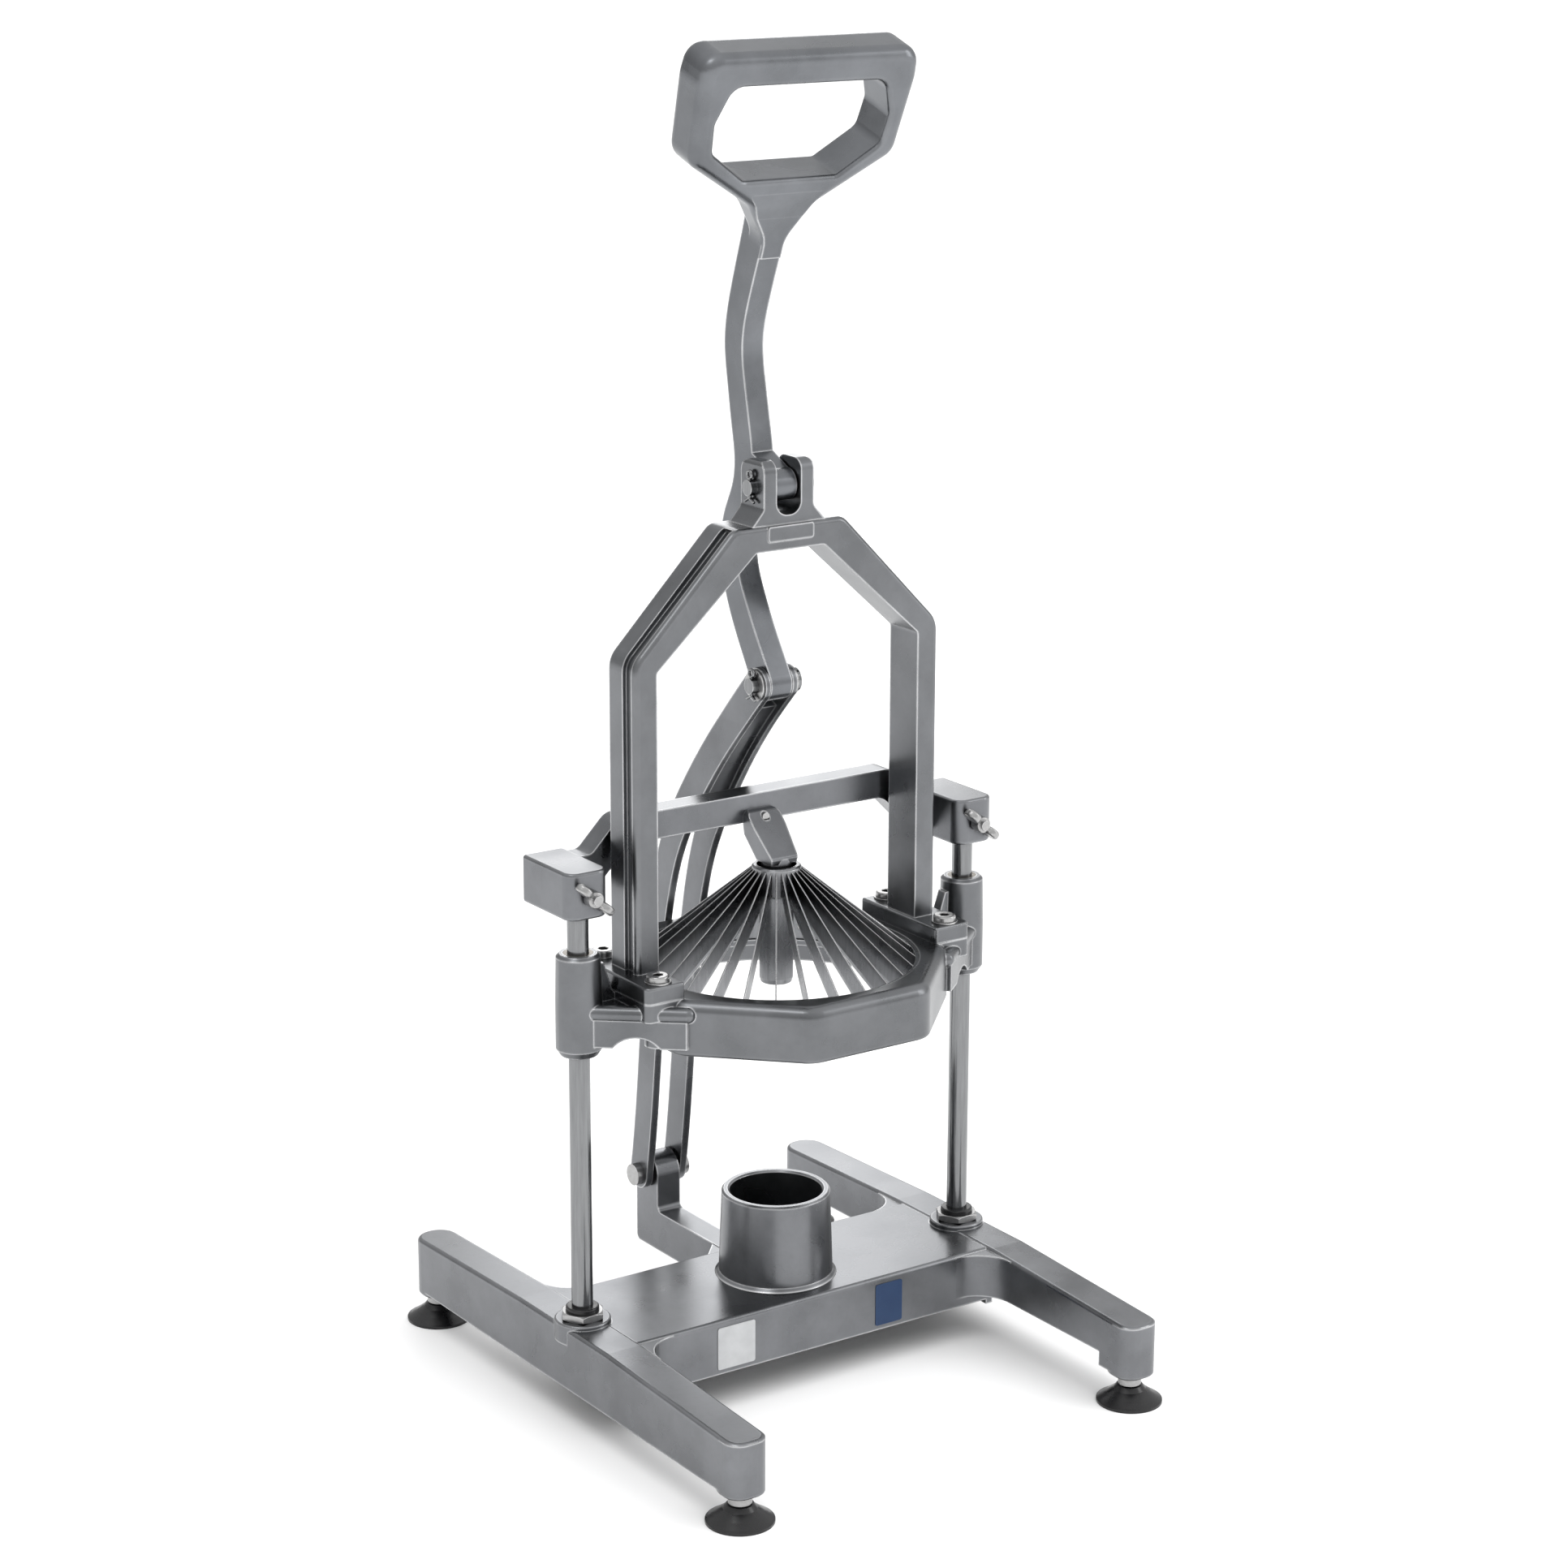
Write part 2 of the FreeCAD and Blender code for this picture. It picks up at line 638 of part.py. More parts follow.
def yoke():
    body = fuse(crossbar(), *both_sides(yoke_block()))
    for sign in SIDES.values():
        x = sign * ROD_X
        body = body.cut(upright(ROD_R, x, 0, YOKE_BOTTOM - 1, ROD_TOP))
        body = body.cut(rod(WING_SCREW_R + SLIDE_CLEARANCE, V(x, -YOKE_BLOCK_R * 2, WING_SCREW_Z),
                            V(x, 0, WING_SCREW_Z)))
    screw_z = CROSSBAR_BOTTOM + 4
    return body.cut(rod(2.5, V(0, 0, screw_z), V(0, CROSSBAR_FRONT + CROSSBAR_DEPTH + 1, screw_z)))


def wing(x, y_front):
    """One flat, round-ended lobe of a wing screw."""
    reach, half = WING_SPAN - WING_LOBE_R, WING_T / 2
    y = y_front + WING_LOBE_R * 0.5
    disc = upright(WING_LOBE_R, x + reach, y, WING_SCREW_Z - half, WING_SCREW_Z + half)
    disc = round_edges(disc, WING_EDGE_R, lambda edge: edge.Length > 4 * WING_LOBE_R)
    neck = [(x, y - 2), (x + reach, y - WING_LOBE_R + 0.5), (x + reach, y + WING_LOBE_R - 0.5),
            (x, y + 4)]
    low, high = WING_SCREW_Z - half / 2, WING_SCREW_Z + half / 2
    return fuse(disc, profile_z(neck, 0, low, high))


def wing_screw(sign):
    """A thumb screw through the block's front, its tip just off the rod."""
    x = sign * ROD_X
    face = -YOKE_BLOCK_R - 0.3
    tip = -ROD_R - 0.3
    front = face - WING_COLLAR_H
    shank = rod(WING_SCREW_R, V(x, front - 1.5, WING_SCREW_Z), V(x, tip, WING_SCREW_Z))
    collar = rod(WING_COLLAR_R, V(x, front, WING_SCREW_Z), V(x, face, WING_SCREW_Z))
    collar = collar.makeFillet(1.2, [e for e in collar.Edges if e.Length > 4 * WING_COLLAR_R])
    lobes = [wing(x, front), wing(x, front).mirror(V(x, 0, 0), V(1, 0, 0))]
    for lobe in lobes:
        lobe.rotate(V(x, 0, WING_SCREW_Z), V(0, 1, 0), WING_TURN_DEG)
    return fuse(collar, shank, *lobes)


def core_ejector():
    """The finger that reaches forward from the crossbar into the blade hub."""
    r = EJECTOR_TIP_R
    back = CROSSBAR_FRONT
    low = HUB_TOP + EJECTOR_GAP
    side = [(back, EJECTOR_TOP), (back - EJECTOR_PROUD, EJECTOR_TOP - 1), (-r, low + 4), (-r + 1, low),
            (r - 1, low), (back, CROSSBAR_BOTTOM - 7)]
    slab = profile_x(side, [0, 2, 2, 0, 0, 0], -EJECTOR_W / 2, EJECTOR_W / 2)
    front = [(-r + 1, EJECTOR_TIP_BOTTOM), (r - 1, EJECTOR_TIP_BOTTOM), (EJECTOR_W / 2, EJECTOR_TOP - 9),
             (EJECTOR_W / 2, EJECTOR_TOP), (-EJECTOR_W / 2, EJECTOR_TOP), (-EJECTOR_W / 2, EJECTOR_TOP - 9)]
    slab = slab.common(profile_y(front, [0, 0, 4, 4, 4, 4], -r * 2, back))
    tip = upright(r, 0, 0, EJECTOR_TIP_BOTTOM, low + 3)
    tip = round_edges(tip, 1.0, at_height(EJECTOR_TIP_BOTTOM))
    screw_z = CROSSBAR_BOTTOM + 4
    return fuse(slab, tip).cut(rod(2.5, V(0, back - 9, screw_z), V(0, back + 1, screw_z)))


def ejector_screw():
    """A round-headed screw from the crossbar's rear into the ejector."""
    screw_z = CROSSBAR_BOTTOM + 4
    rear = CROSSBAR_FRONT + CROSSBAR_DEPTH
    shank = rod(2.5, V(0, CROSSBAR_FRONT - 8, screw_z), V(0, rear, screw_z))
    head = rod(4.5, V(0, rear, screw_z), V(0, rear + 3, screw_z))
    return fuse(shank, head)


# ---------------------------------------------------------------- carriage

def ring_plan(apothem):
    """Eight corners, with a flat side facing the operator."""
    corner_r = apothem / math.cos(math.radians(22.5))
    angles = [math.radians(22.5 + 45 * i) for i in range(8)]
    return [(corner_r * math.cos(a), corner_r * math.sin(a)) for a in angles]


def carriage_ring():
    body = profile_z(ring_plan(RING_APOTHEM), RING_CORNER_R, RING_BOTTOM, RING_TOP)
    body = round_edges(body, RING_SHOULDER_R, at_height(RING_TOP))
    body = round_edges(body, RING_EDGE_R, at_height(RING_BOTTOM))
    ledge = blade_ring_bottom()
    bore = upright(RING_BORE_R, 0, 0, ledge, RING_TOP + 1)
    throat = upright(RING_LEDGE_R, 0, 0, 0, RING_TOP)
    skirt = upright(RING_SKIRT_R, 0, 0, 0, ledge - RING_LEDGE_H)
    return body, [bore, throat, skirt]


def blade_ring_bottom():
    return RING_TOP - 1 - BLADE_H


def housing():
    """The right rod housing, slightly wider at its foot."""
    edge, flare = HOUSING_BEVEL, HOUSING_FLARE
    points = [(0, HOUSING_BOTTOM), (HOUSING_R - edge, HOUSING_BOTTOM),
              (HOUSING_R + flare, HOUSING_BOTTOM + 2 * edge), (HOUSING_R + flare, ARM_TOP),
              (HOUSING_R, HOUSING_TOP - edge), (HOUSING_R - edge, HOUSING_TOP), (0, HOUSING_TOP)]
    return turned(points, ROD_X, 0)


def bolt_x():
    return ARCH_FOOT_INNER + ARCH_FOOT_W / 2


def carriage_arm():
    """The right arm: a flat web with a round rib along each edge and a wall below."""
    centre_z = ARM_TOP - ARM_RIB_R
    near = V(ROD_X, HOUSING_R - ARM_RIB_R, centre_z)
    far = V(ROD_X - ARM_END_INSET, ARM_END_Y, centre_z)
    plan = mirrored_across([(near.x, near.y), (far.x, far.y)])
    pieces = [profile_z(plan, 0, ARM_TOP - ARM_T - 2, ARM_TOP - 2)]
    for side in (-1, 1):
        start = V(near.x, near.y * side, near.z)
        end = V(far.x, far.y * side, far.z)
        pieces.append(rod(ARM_RIB_R, start, end))
        pieces.append(Part.makeSphere(ARM_RIB_R, end))
        pieces.append(arm_wall(start, end))
    return pieces


def mirrored_across(half):
    """An outline's rear half with the same points mirrored to the front."""
    return half + [(x, -y) for x, y in reversed(half)]


def arm_wall(start, end):
    """The wall under a rib, with a shallow arch in its lower edge."""
    way = (end - start).normalize()
    across = way.cross(V(0, 0, 1)) * (ARM_T / 2)
    drop = V(0, 0, ARM_WALL_BOTTOM - start.z)
    corners = [start + across, end + across, end + across + drop, start + across + drop]
    wall = prism(corners, 0, across * -2)
    middle = start + (end - start) * 0.5
    centre = V(middle.x, middle.y, ARM_WALL_BOTTOM + ARM_ARCH_RISE - ARM_ARCH_R)
    reach = across.normalize() * ARM_T
    return wall.cut(rod(ARM_ARCH_R, centre - reach, centre + reach))


def pad_block():
    """The block under the right foot of the arch, a gusset to the housing and the bolt lugs."""
    x0, x1 = ARCH_FOOT_INNER, ARCH_FOOT_INNER + ARCH_FOOT_W
    pad = profile_z(mirrored_across([(x1, ARCH_FOOT_LENGTH / 2), (x0, ARCH_FOOT_LENGTH / 2)]),
                    [4, 1.5, 1.5, 4], ARM_TOP - ARM_T - 2, PAD_TOP)
    gusset_top = HOUSING_TOP - 8
    web = [(x1 - 1, ARM_TOP - 4), (ROD_X - 4, ARM_TOP - 4), (ROD_X - 4, gusset_top),
           (ROD_X - HOUSING_R - 2, gusset_top), (x1 + 1, PAD_TOP - 1), (x1 - 1, PAD_TOP - 1)]
    web = profile_y(web, 0, -GUSSET_T / 2, GUSSET_T / 2)
    lugs = [upright(ARM_LUG_R, bolt_x(), side * ARCH_BOLT_Y, ARM_WALL_BOTTOM, PAD_TOP - 1)
            for side in (-1, 1)]
    return [pad, web] + lugs


def carriage_casting():
    body, cuts = carriage_ring()
    side = [housing()] + carriage_arm() + pad_block()
    body = fuse(body, *[piece for part in side for piece in both_sides(part)])
    for sign in SIDES.values():
        x = sign * ROD_X
        cuts.append(upright(BUSHING_R, x, 0, HOUSING_TOP - BUSHING_H, HOUSING_TOP + 1))
        cuts.append(upright(BUSHING_R, x, 0, HOUSING_BOTTOM - 1, HOUSING_BOTTOM + BUSHING_H))
        cuts.append(upright(ROD_R + 0.8, x, 0, HOUSING_BOTTOM, HOUSING_TOP))
        for y in (-ARCH_BOLT_Y, ARCH_BOLT_Y):
            cuts.append(upright(ARCH_BOLT_R, sign * bolt_x(), y, RING_BOTTOM + 8, PAD_TOP + 1))
    for place in ring_screw_places():
        cuts.append(rod(2.0, V(0, 0, place.z), place))
    return body.cut(cuts)


def ring_screw_places():
    """Where the blade ring screws come out of the rear of the carriage ring."""
    z = RING_TOP - 1 - BLADE_H / 2
    reach = RING_APOTHEM + 6
    angles = [math.radians(degrees) for degrees in RING_SCREW_DEG]
    return [V(reach * math.cos(a), reach * math.sin(a), z) for a in angles]


def ring_screw(place):
    """A screw through the carriage ring into the blade ring's wall."""
    out = V(place.x, place.y, 0).normalize()
    axis_z = V(0, 0, place.z)
    shank = rod(2.0, axis_z + out * (RING_BORE_R - BLADE_RING_T), axis_z + out * RING_APOTHEM)
    head = rod(3.6, axis_z + out * RING_APOTHEM, axis_z + out * (RING_APOTHEM + 2.2))
    return fuse(shank, head)


def rod_bushing(sign, z0):
    return ring(BUSHING_R, ROD_R + SLIDE_CLEARANCE, sign * ROD_X, 0, z0, z0 + BUSHING_H)


# ---------------------------------------------------------------- blades

def blade_edge(r):
    """The height of the blades' upper edge at a distance from the axis."""
    outer = RING_BORE_R - BLADE_RING_T
    rise = (HUB_TOP - 2) - (RING_TOP - 1)
    return RING_TOP - 1 + rise * (outer - r) / (outer - HUB_R)


def blade(index):
    """A thin upright strip from the hub out to the blade ring."""
    angle = BLADE_START_DEG + 360.0 * index / BLADE_COUNT
    inner, outer = HUB_R - 1.0, RING_BORE_R - BLADE_RING_T
    points = [(inner, blade_edge(inner)), (outer, blade_edge(outer)),
              (outer, blade_edge(outer) - BLADE_H), (inner, blade_edge(inner) - BLADE_H)]
    strip = profile_y(points, 0, -BLADE_T / 2, BLADE_T / 2)
    strip.rotate(V(0, 0, 0), V(0, 0, 1), angle - 90)
    return strip


def blade_ring():
    low = blade_ring_bottom()
    band = ring(RING_BORE_R, RING_BORE_R - BLADE_RING_T, 0, 0, low, RING_TOP - 1)
    for place in ring_screw_places():
        band = band.cut(rod(2.0, V(0, 0, place.z), place))
    return band


def blade_hub():
    """The slotted collar that the blades' inner ends are set in."""
    low = HUB_TOP - HUB_H
    edge = HUB_BEVEL
    section = [(CORE_TUBE_R, low), (HUB_R - edge, low), (HUB_R, low + edge),
               (HUB_R, HUB_TOP - edge), (HUB_R - edge, HUB_TOP), (HUB_BORE_R, HUB_TOP),
               (HUB_BORE_R, HUB_TOP - HUB_RECESS), (CORE_TUBE_R, HUB_TOP - HUB_RECESS)]
    return turned(section, 0, 0).cut([blade(i) for i in range(BLADE_COUNT)])


def core_tube():
    """The coring tube, sharpened at its lower end."""
    top = HUB_TOP - HUB_RECESS
    points = [(CORE_TUBE_BORE_R, CORE_TUBE_BOTTOM), (CORE_TUBE_BORE_R + 0.3, CORE_TUBE_BOTTOM),
              (CORE_TUBE_R, CORE_TUBE_BOTTOM + 3), (CORE_TUBE_R, top), (CORE_TUBE_BORE_R, top)]
    return turned(points, 0, 0)


# ---------------------------------------------------------------- arch

def arch_path(share):
    """Half of the arch's outline: 0 is the window's edge and 1 the outside."""
    leg = ARCH_INNER_HALF + share * ARCH_LEG_W
    crown = ARCH_CROWN_HALF + share * (ARCH_CROWN_OUTER - ARCH_CROWN_HALF)
    return [(leg, PAD_TOP + ARCH_FOOT_H - 1), (leg, ARCH_SHOULDER_Z + share * ARCH_SHOULDER_RISE),
            (crown, ARCH_CROWN_Z + share * ARCH_CROWN_T)]


def arch_bar():
    """The bent bar itself, its outer front edge rounded over."""
    outer, inner = arch_path(1), arch_path(0)
    half = ARCH_DEPTH / 2
    points = mirrored_points(outer) + [(-x, z) for x, z in inner] + inner[::-1]
    radii = [0, 16, 10, 10, 16, 0, 0, 3, 4, 4, 3, 0]
    bar = profile_y(points, radii, -half, half)
    return round_edges(bar, ARCH_RIM_R, is_arch_rim)


def is_arch_rim(edge):
    """An edge round the outside of the arch's front."""
    middle = edge.valueAt((edge.FirstParameter + edge.LastParameter) / 2)
    x, z = abs(middle.x), middle.z
    (leg, _), (_, shoulder), (crown, top) = arch_path(0.6)
    slant = z > shoulder and (x - crown) * (top - shoulder) > (top - z) * (leg - crown)
    beyond = x > leg or z > top or slant
    return abs(middle.y + ARCH_DEPTH / 2) < 0.01 and beyond and z > PAD_TOP + ARCH_FOOT_H


def arch_groove():
    """The shallow channel along the outside of the right leg and shoulder."""
    deep = arch_path(1 - ARCH_GROOVE_DEPTH / ARCH_LEG_W)
    far = arch_path(1.7)
    points = deep + list(reversed(far))
    y0 = -ARCH_DEPTH / 2 + ARCH_RIM_R + 1.4
    return profile_y(points, [0, 14, 0, 0, 20, 0], y0, y0 + ARCH_GROOVE_W)


def arch_foot():
    """The right bolted foot."""
    x0, x1 = ARCH_FOOT_INNER, ARCH_FOOT_INNER + ARCH_FOOT_W
    y = ARCH_FOOT_LENGTH / 2
    top = PAD_TOP + ARCH_FOOT_H
    plan = [(x0, -y), (x1, -y), (x1, y), (x0, y)]
    foot = profile_z(plan, [1.5, 4, 4, 1.5], PAD_TOP, top)
    foot = round_edges(foot, ARCH_FOOT_R, at_height(top))
    for side in (-1, 1):
        foot = foot.cut(upright(ARCH_BOLT_R, bolt_x(), side * ARCH_BOLT_Y, 0, PAD_TOP + 40))
    return foot


def clevis():
    """The two ears on the crown, with a slot between them for the lever's hub."""
    slot = CLEVIS_SLOT_W / 2
    outer = slot + CLEVIS_EAR_T
    crown_top = ARCH_CROWN_Z + ARCH_CROWN_T
    half = [(outer + 14, crown_top - 6), (outer + 6, crown_top + 2), (outer, crown_top + 9),
            (outer, CLEVIS_TOP)]
    radii = [0, 5, 5, 3]
    body = profile_y(mirrored_points(half), radii + radii[::-1], -CLEVIS_DEPTH / 2, CLEVIS_DEPTH / 2)
    side = [(-CLEVIS_DEPTH, crown_top - 8), (CLEVIS_DEPTH, crown_top - 8), (CLEVIS_DEPTH / 2, crown_top),
            (CLEVIS_DEPTH / 2, CLEVIS_TOP), (-CLEVIS_DEPTH / 2, CLEVIS_TOP), (-CLEVIS_DEPTH / 2, crown_top)]
    body = body.common(profile_x(side, [0, 0, 0, 7, 7, 0], -outer * 2, outer * 2))
    opening = mirrored_points([(slot, CLEVIS_SLOT_BOTTOM), (slot, CLEVIS_TOP + 9)])
    opening = profile_y(opening, [slot - 1, 0, 0, slot - 1], -CLEVIS_DEPTH, CLEVIS_DEPTH)
    return body, opening


def name_plaque():
    """A blank raised panel on the crown's front."""
    z = (ARCH_CROWN_Z + CLEVIS_SLOT_BOTTOM) / 2
    front = -ARCH_DEPTH / 2
    half, tall = PLAQUE_W / 2, PLAQUE_H / 2
    panel = [(-half, z - tall), (half, z - tall), (half, z + tall), (-half, z + tall)]
    return profile_y(panel, PLAQUE_R, front - PLAQUE_T, front + 1)


def arch_frame():
    ears, slot = clevis()
    bar = arch_bar()
    for groove in both_sides(arch_groove()):
        bar = bar.cut(groove)
    body = fuse(bar, ears, name_plaque(), *both_sides(arch_foot()))
    return body.cut([slot, crosswise(PIN_R, -60, 60, 0, PIVOT_Z)])


def arch_bolt(sign, y):
    """A low-headed bolt down through the foot into the carriage."""
    x = sign * bolt_x()
    seat = PAD_TOP + ARCH_FOOT_H + ARCH_WASHER_T
    top = seat + ARCH_BOLT_HEAD_H
    shank = upright(ARCH_BOLT_R, x, y, RING_BOTTOM + 9, seat + 1)
    head = round_edges(upright(ARCH_BOLT_HEAD_R, x, y, seat, top), 1.2, at_height(top))
    socket = hexagon(ARCH_BOLT_SOCKET, x, y, seat + 1, top + 2)
    return fuse(shank, head).cut(socket)


def arch_washer(sign, y):
    seat = PAD_TOP + ARCH_FOOT_H
    return ring(ARCH_WASHER_R, ARCH_BOLT_R, sign * bolt_x(), y, seat, seat + ARCH_WASHER_T)


def clevis_pin():
    """The lever's pivot pin, headed at the right."""
    outer = CLEVIS_SLOT_W / 2 + CLEVIS_EAR_T
    shank = crosswise(PIN_R, -outer - PIN_TAIL, outer + 1, 0, PIVOT_Z)
    head = crosswise(PIN_HEAD_R, outer, outer + PIN_HEAD_H, 0, PIVOT_Z)
    return fuse(shank, head).cut(cotter_hole(-outer - PIN_TAIL / 2, 0, PIVOT_Z))


def cotter_hole(x, y, z):
    return upright(COTTER_R, x, y, z - 2 * PIN_R, z + 2 * PIN_R)


def cotter(x, y, z):
    """A split pin through a pin's end, with an eye above and bent legs below."""
    stem = upright(COTTER_R, x, y, z - PIN_R - 1.5, z + PIN_R + 0.6)
    eye = Part.makeTorus(2.2, 0.9, V(x, y, z + PIN_R + 3.0), V(1, 0, 0))
    legs = [rod(0.9, V(x, y, z - PIN_R - 1.2), V(x, y + side * 4.5, z - PIN_R - 3.6)) for side in (-1, 1)]
    return fuse(stem, eye, *legs)


# ---------------------------------------------------------------- lever

def lever_line():
    """The lever's centre line in Y and Z, with its half depth."""
    return [(LINK_PIN_Y, LINK_PIN_Z, 10.4), (20.5, 456.0, 9.8), (33.0, 479.0, 9.4), (40.0, 502.0, 8.6),
            (36.4, 526.0, 8.8), (27.0, 545.0, 9.2), (24.5, 563.0, 9.4), (27.5, 582.0, 9.4), (32.0, 606.0, 9.0),
            (34.8, 630.0, 9.2), (29.0, 657.0, 9.6), (20.6, 680.0, 10.2), (11.8, 706.0, 10.6)]


def side_curves(line):
    """The two offset edges of a centre line."""
    edges = ([], [])
    for i, (y, z, half) in enumerate(line):
        y0, z0, _ = line[max(i - 1, 0)]
        y1, z1, _ = line[min(i + 1, len(line) - 1)]
        length = math.hypot(y1 - y0, z1 - z0)
        across = (-(z1 - z0) / length * half, (y1 - y0) / length * half)
        edges[0].append((y + across[0], z + across[1]))
        edges[1].append((y - across[0], z - across[1]))
    return edges


def spline(points, x):
    curve = Part.BSplineCurve()
    curve.interpolate([V(x, y, z) for y, z in points])
    return curve.toShape()


def strip_x(line, x0, x1):
    """A smooth bar along a centre line in Y and Z, from x0 to x1."""
    front, rear = side_curves(line)
    caps = [Part.LineSegment(V(x0, *front[-1]), V(x0, *rear[-1])).toShape(),
            Part.LineSegment(V(x0, *rear[0]), V(x0, *front[0])).toShape()]
    wire = Part.Wire(Part.__sortEdges__([spline(front, x0), caps[0], spline(rear, x0), caps[1]]))
    return Part.Face(wire).extrude(V(x1 - x0, 0, 0))


def grip_point(x, height, out):
    """A point on the leaning grip: across, up the lean, and out in front of it."""
    lean = math.radians(GRIP_LEAN_DEG)
    y = GRIP_BASE_Y - height * math.sin(lean) - out * math.cos(lean)
    z = GRIP_BASE_Z + height * math.cos(lean) - out * math.sin(lean)
    return V(x, y, z)


def grip_plate(points, radii, depth):
    """An outline in the leaning plane, pushed equally to the front and the rear."""
    corners = [grip_point(x, h, depth / 2) for x, h in points]
    way = grip_point(0, 0, -depth / 2) - grip_point(0, 0, depth / 2)
    return prism(corners, radii, way)


def lever_grip():
    """The D-shaped grip with the tapering neck under it."""
    top, side, half = GRIP_TOP, GRIP_HALF_W, GRIP_DEPTH / 2
    outer = mirrored_points([(LEVER_W / 2, 52), (LEVER_W / 2, 64), (22, 86), (side - 4, 115),
                             (side, top - 18), (side - 2, top)])
    radii = [0, 18, 18, 12, 26, 12]
    window = mirrored_points([(GRIP_WINDOW_HALF, GRIP_WINDOW_LOW),
                              (side - GRIP_SIDE - 2, GRIP_WINDOW_LOW + 18),
                              (side - GRIP_SIDE, 140), (side - GRIP_SIDE - 8, top - GRIP_BAR)])
    frame = grip_plate(outer, radii + radii[::-1], GRIP_DEPTH)
    frame = frame.cut(grip_plate(window, [6, 7, 8, 10, 10, 8, 7, 6], GRIP_DEPTH * 2))
    frame = round_edges(frame, GRIP_WINDOW_R, is_window_rim)
    frame = round_edges(frame, GRIP_EDGE_R, is_grip_rim)
    web = GRIP_WEB_REAR
    taper = [(10.5, 50), (11.0, 78), (half + 1, 100), (half + 1, top + 5), (-half - 1, top + 5),
             (-half - 1, 104), (-half + 1.5, 94), (-web - 0.5, 82), (-web, 50)]
    return frame.common(grip_side(taper))


def grip_side(points):
    """A side outline of the leaning grip, pushed across it."""
    corners = [grip_point(-GRIP_HALF_W - 5, h, out) for out, h in points]
    return prism(corners, 0, V(2 * GRIP_HALF_W + 10, 0, 0))


def on_grip_face(edge):
    """Where an edge's middle is, across and up the grip, if it is on a broad face."""
    lean = math.radians(GRIP_LEAN_DEG)
    middle = edge.valueAt((edge.FirstParameter + edge.LastParameter) / 2) - V(0, GRIP_BASE_Y, GRIP_BASE_Z)
    out = middle.dot(V(0, -math.cos(lean), -math.sin(lean)))
    if abs(abs(out) - GRIP_DEPTH / 2) > 0.01:
        return None
    return abs(middle.x), middle.dot(V(0, -math.sin(lean), math.cos(lean)))


def neck_line(across):
    """A height between the window's lower edge and the neck's outside."""
    return GRIP_WINDOW_LOW - 6 + 0.55 * (across - GRIP_WINDOW_HALF + 5)


def is_window_rim(edge):
    """An edge round the hand opening in the grip's two broad faces."""
    place = on_grip_face(edge)
    if place is None:
        return False
    across, height = place
    above_neck = height > neck_line(across)
    return above_neck and across < GRIP_HALF_W - GRIP_SIDE + 1 and height < GRIP_TOP - GRIP_BAR + 1


def is_grip_rim(edge):
    """An edge round the outside of the grip's two broad faces."""
    place = on_grip_face(edge)
    if place is None:
        return False
    across, height = place
    under_window = height < neck_line(across)
    beside_window = across > GRIP_HALF_W - 6 or height > GRIP_TOP - 1
    return height > 60 and (under_window or beside_window)


def lever_handle():
    half = LEVER_W / 2
    shaft = strip_x(lever_line(), -half, half)
    low, high = PIVOT_Z - LEVER_HUB_R, PIVOT_Z + LEVER_HUB_R
    lug = [(0, low), (14, low), (26, PIVOT_Z - 16), (26, PIVOT_Z + 22), (0, high)]
    lug = profile_x(lug, 0, -half, half)
    hub = crosswise(LEVER_HUB_R, -half, half, 0, PIVOT_Z)
    end = crosswise(10.4, -half, half, LINK_PIN_Y, LINK_PIN_Z)
    body = fuse(shaft, lug, hub, end, lever_grip())
    for y, z in ((0, PIVOT_Z), (LINK_PIN_Y, LINK_PIN_Z)):
        body = body.cut(crosswise(LEVER_BUSH_R, -half - 1, half + 1, y, z))
    return body


def lever_bush(y, z):
    half = LEVER_W / 2
    return washer_x(LEVER_BUSH_R, PIN_R + SLIDE_CLEARANCE, -half, half, y, z)


# ---------------------------------------------------------------- link

def link_line():
    """The link's centre line in Y and Z, with its half depth."""
    top, foot = LINK_TOP_R, LINK_FOOT_R
    return [(LINK_PIN_Y, LINK_PIN_Z, top), (26.0, 409.0, top), (49.0, 382.5, top),
            (74.0, 348.5, top), (95.0, 312.0, 10.0), (109.5, 264.0, foot), (117.0, 218.0, foot),
            (122.5, 170.0, foot), (127.5, 125.0, foot), (TAIL_PIVOT_Y, TAIL_PIVOT_Z, foot)]


def link_side_profile(x0, x1):
    """The link seen from the side, with a round end at each pivot."""
    bar = strip_x(link_line(), x0, x1)
    top = crosswise(LINK_TOP_R, x0, x1, LINK_PIN_Y, LINK_PIN_Z)
    foot = crosswise(LINK_FOOT_R, x0, x1, TAIL_PIVOT_Y, TAIL_PIVOT_Z)
    return fuse(bar, top, foot)


def link_plate():
    """The right plate, which spreads outwards below the web."""
    inner_top, inner_leg = LINK_TOP_GAP / 2, LINK_LEG_GAP / 2
    outer_top, outer_leg = inner_top + LINK_PLATE_T, inner_leg + LINK_LEG_T
    top, bottom = LINK_PIN_Z + 20, TAIL_PIVOT_Z - 20
    low, high = LINK_SPREAD_LOW, LINK_SPREAD_HIGH
    front = [(inner_leg, bottom), (outer_leg, bottom), (outer_leg, low - 5), (outer_top, high + 2),
             (outer_top, top), (inner_top, top), (inner_top, high - 2), (inner_leg, low + 5)]
    return link_side_profile(0, outer_leg + 1).common(profile_y(front, 0, -60, 220))


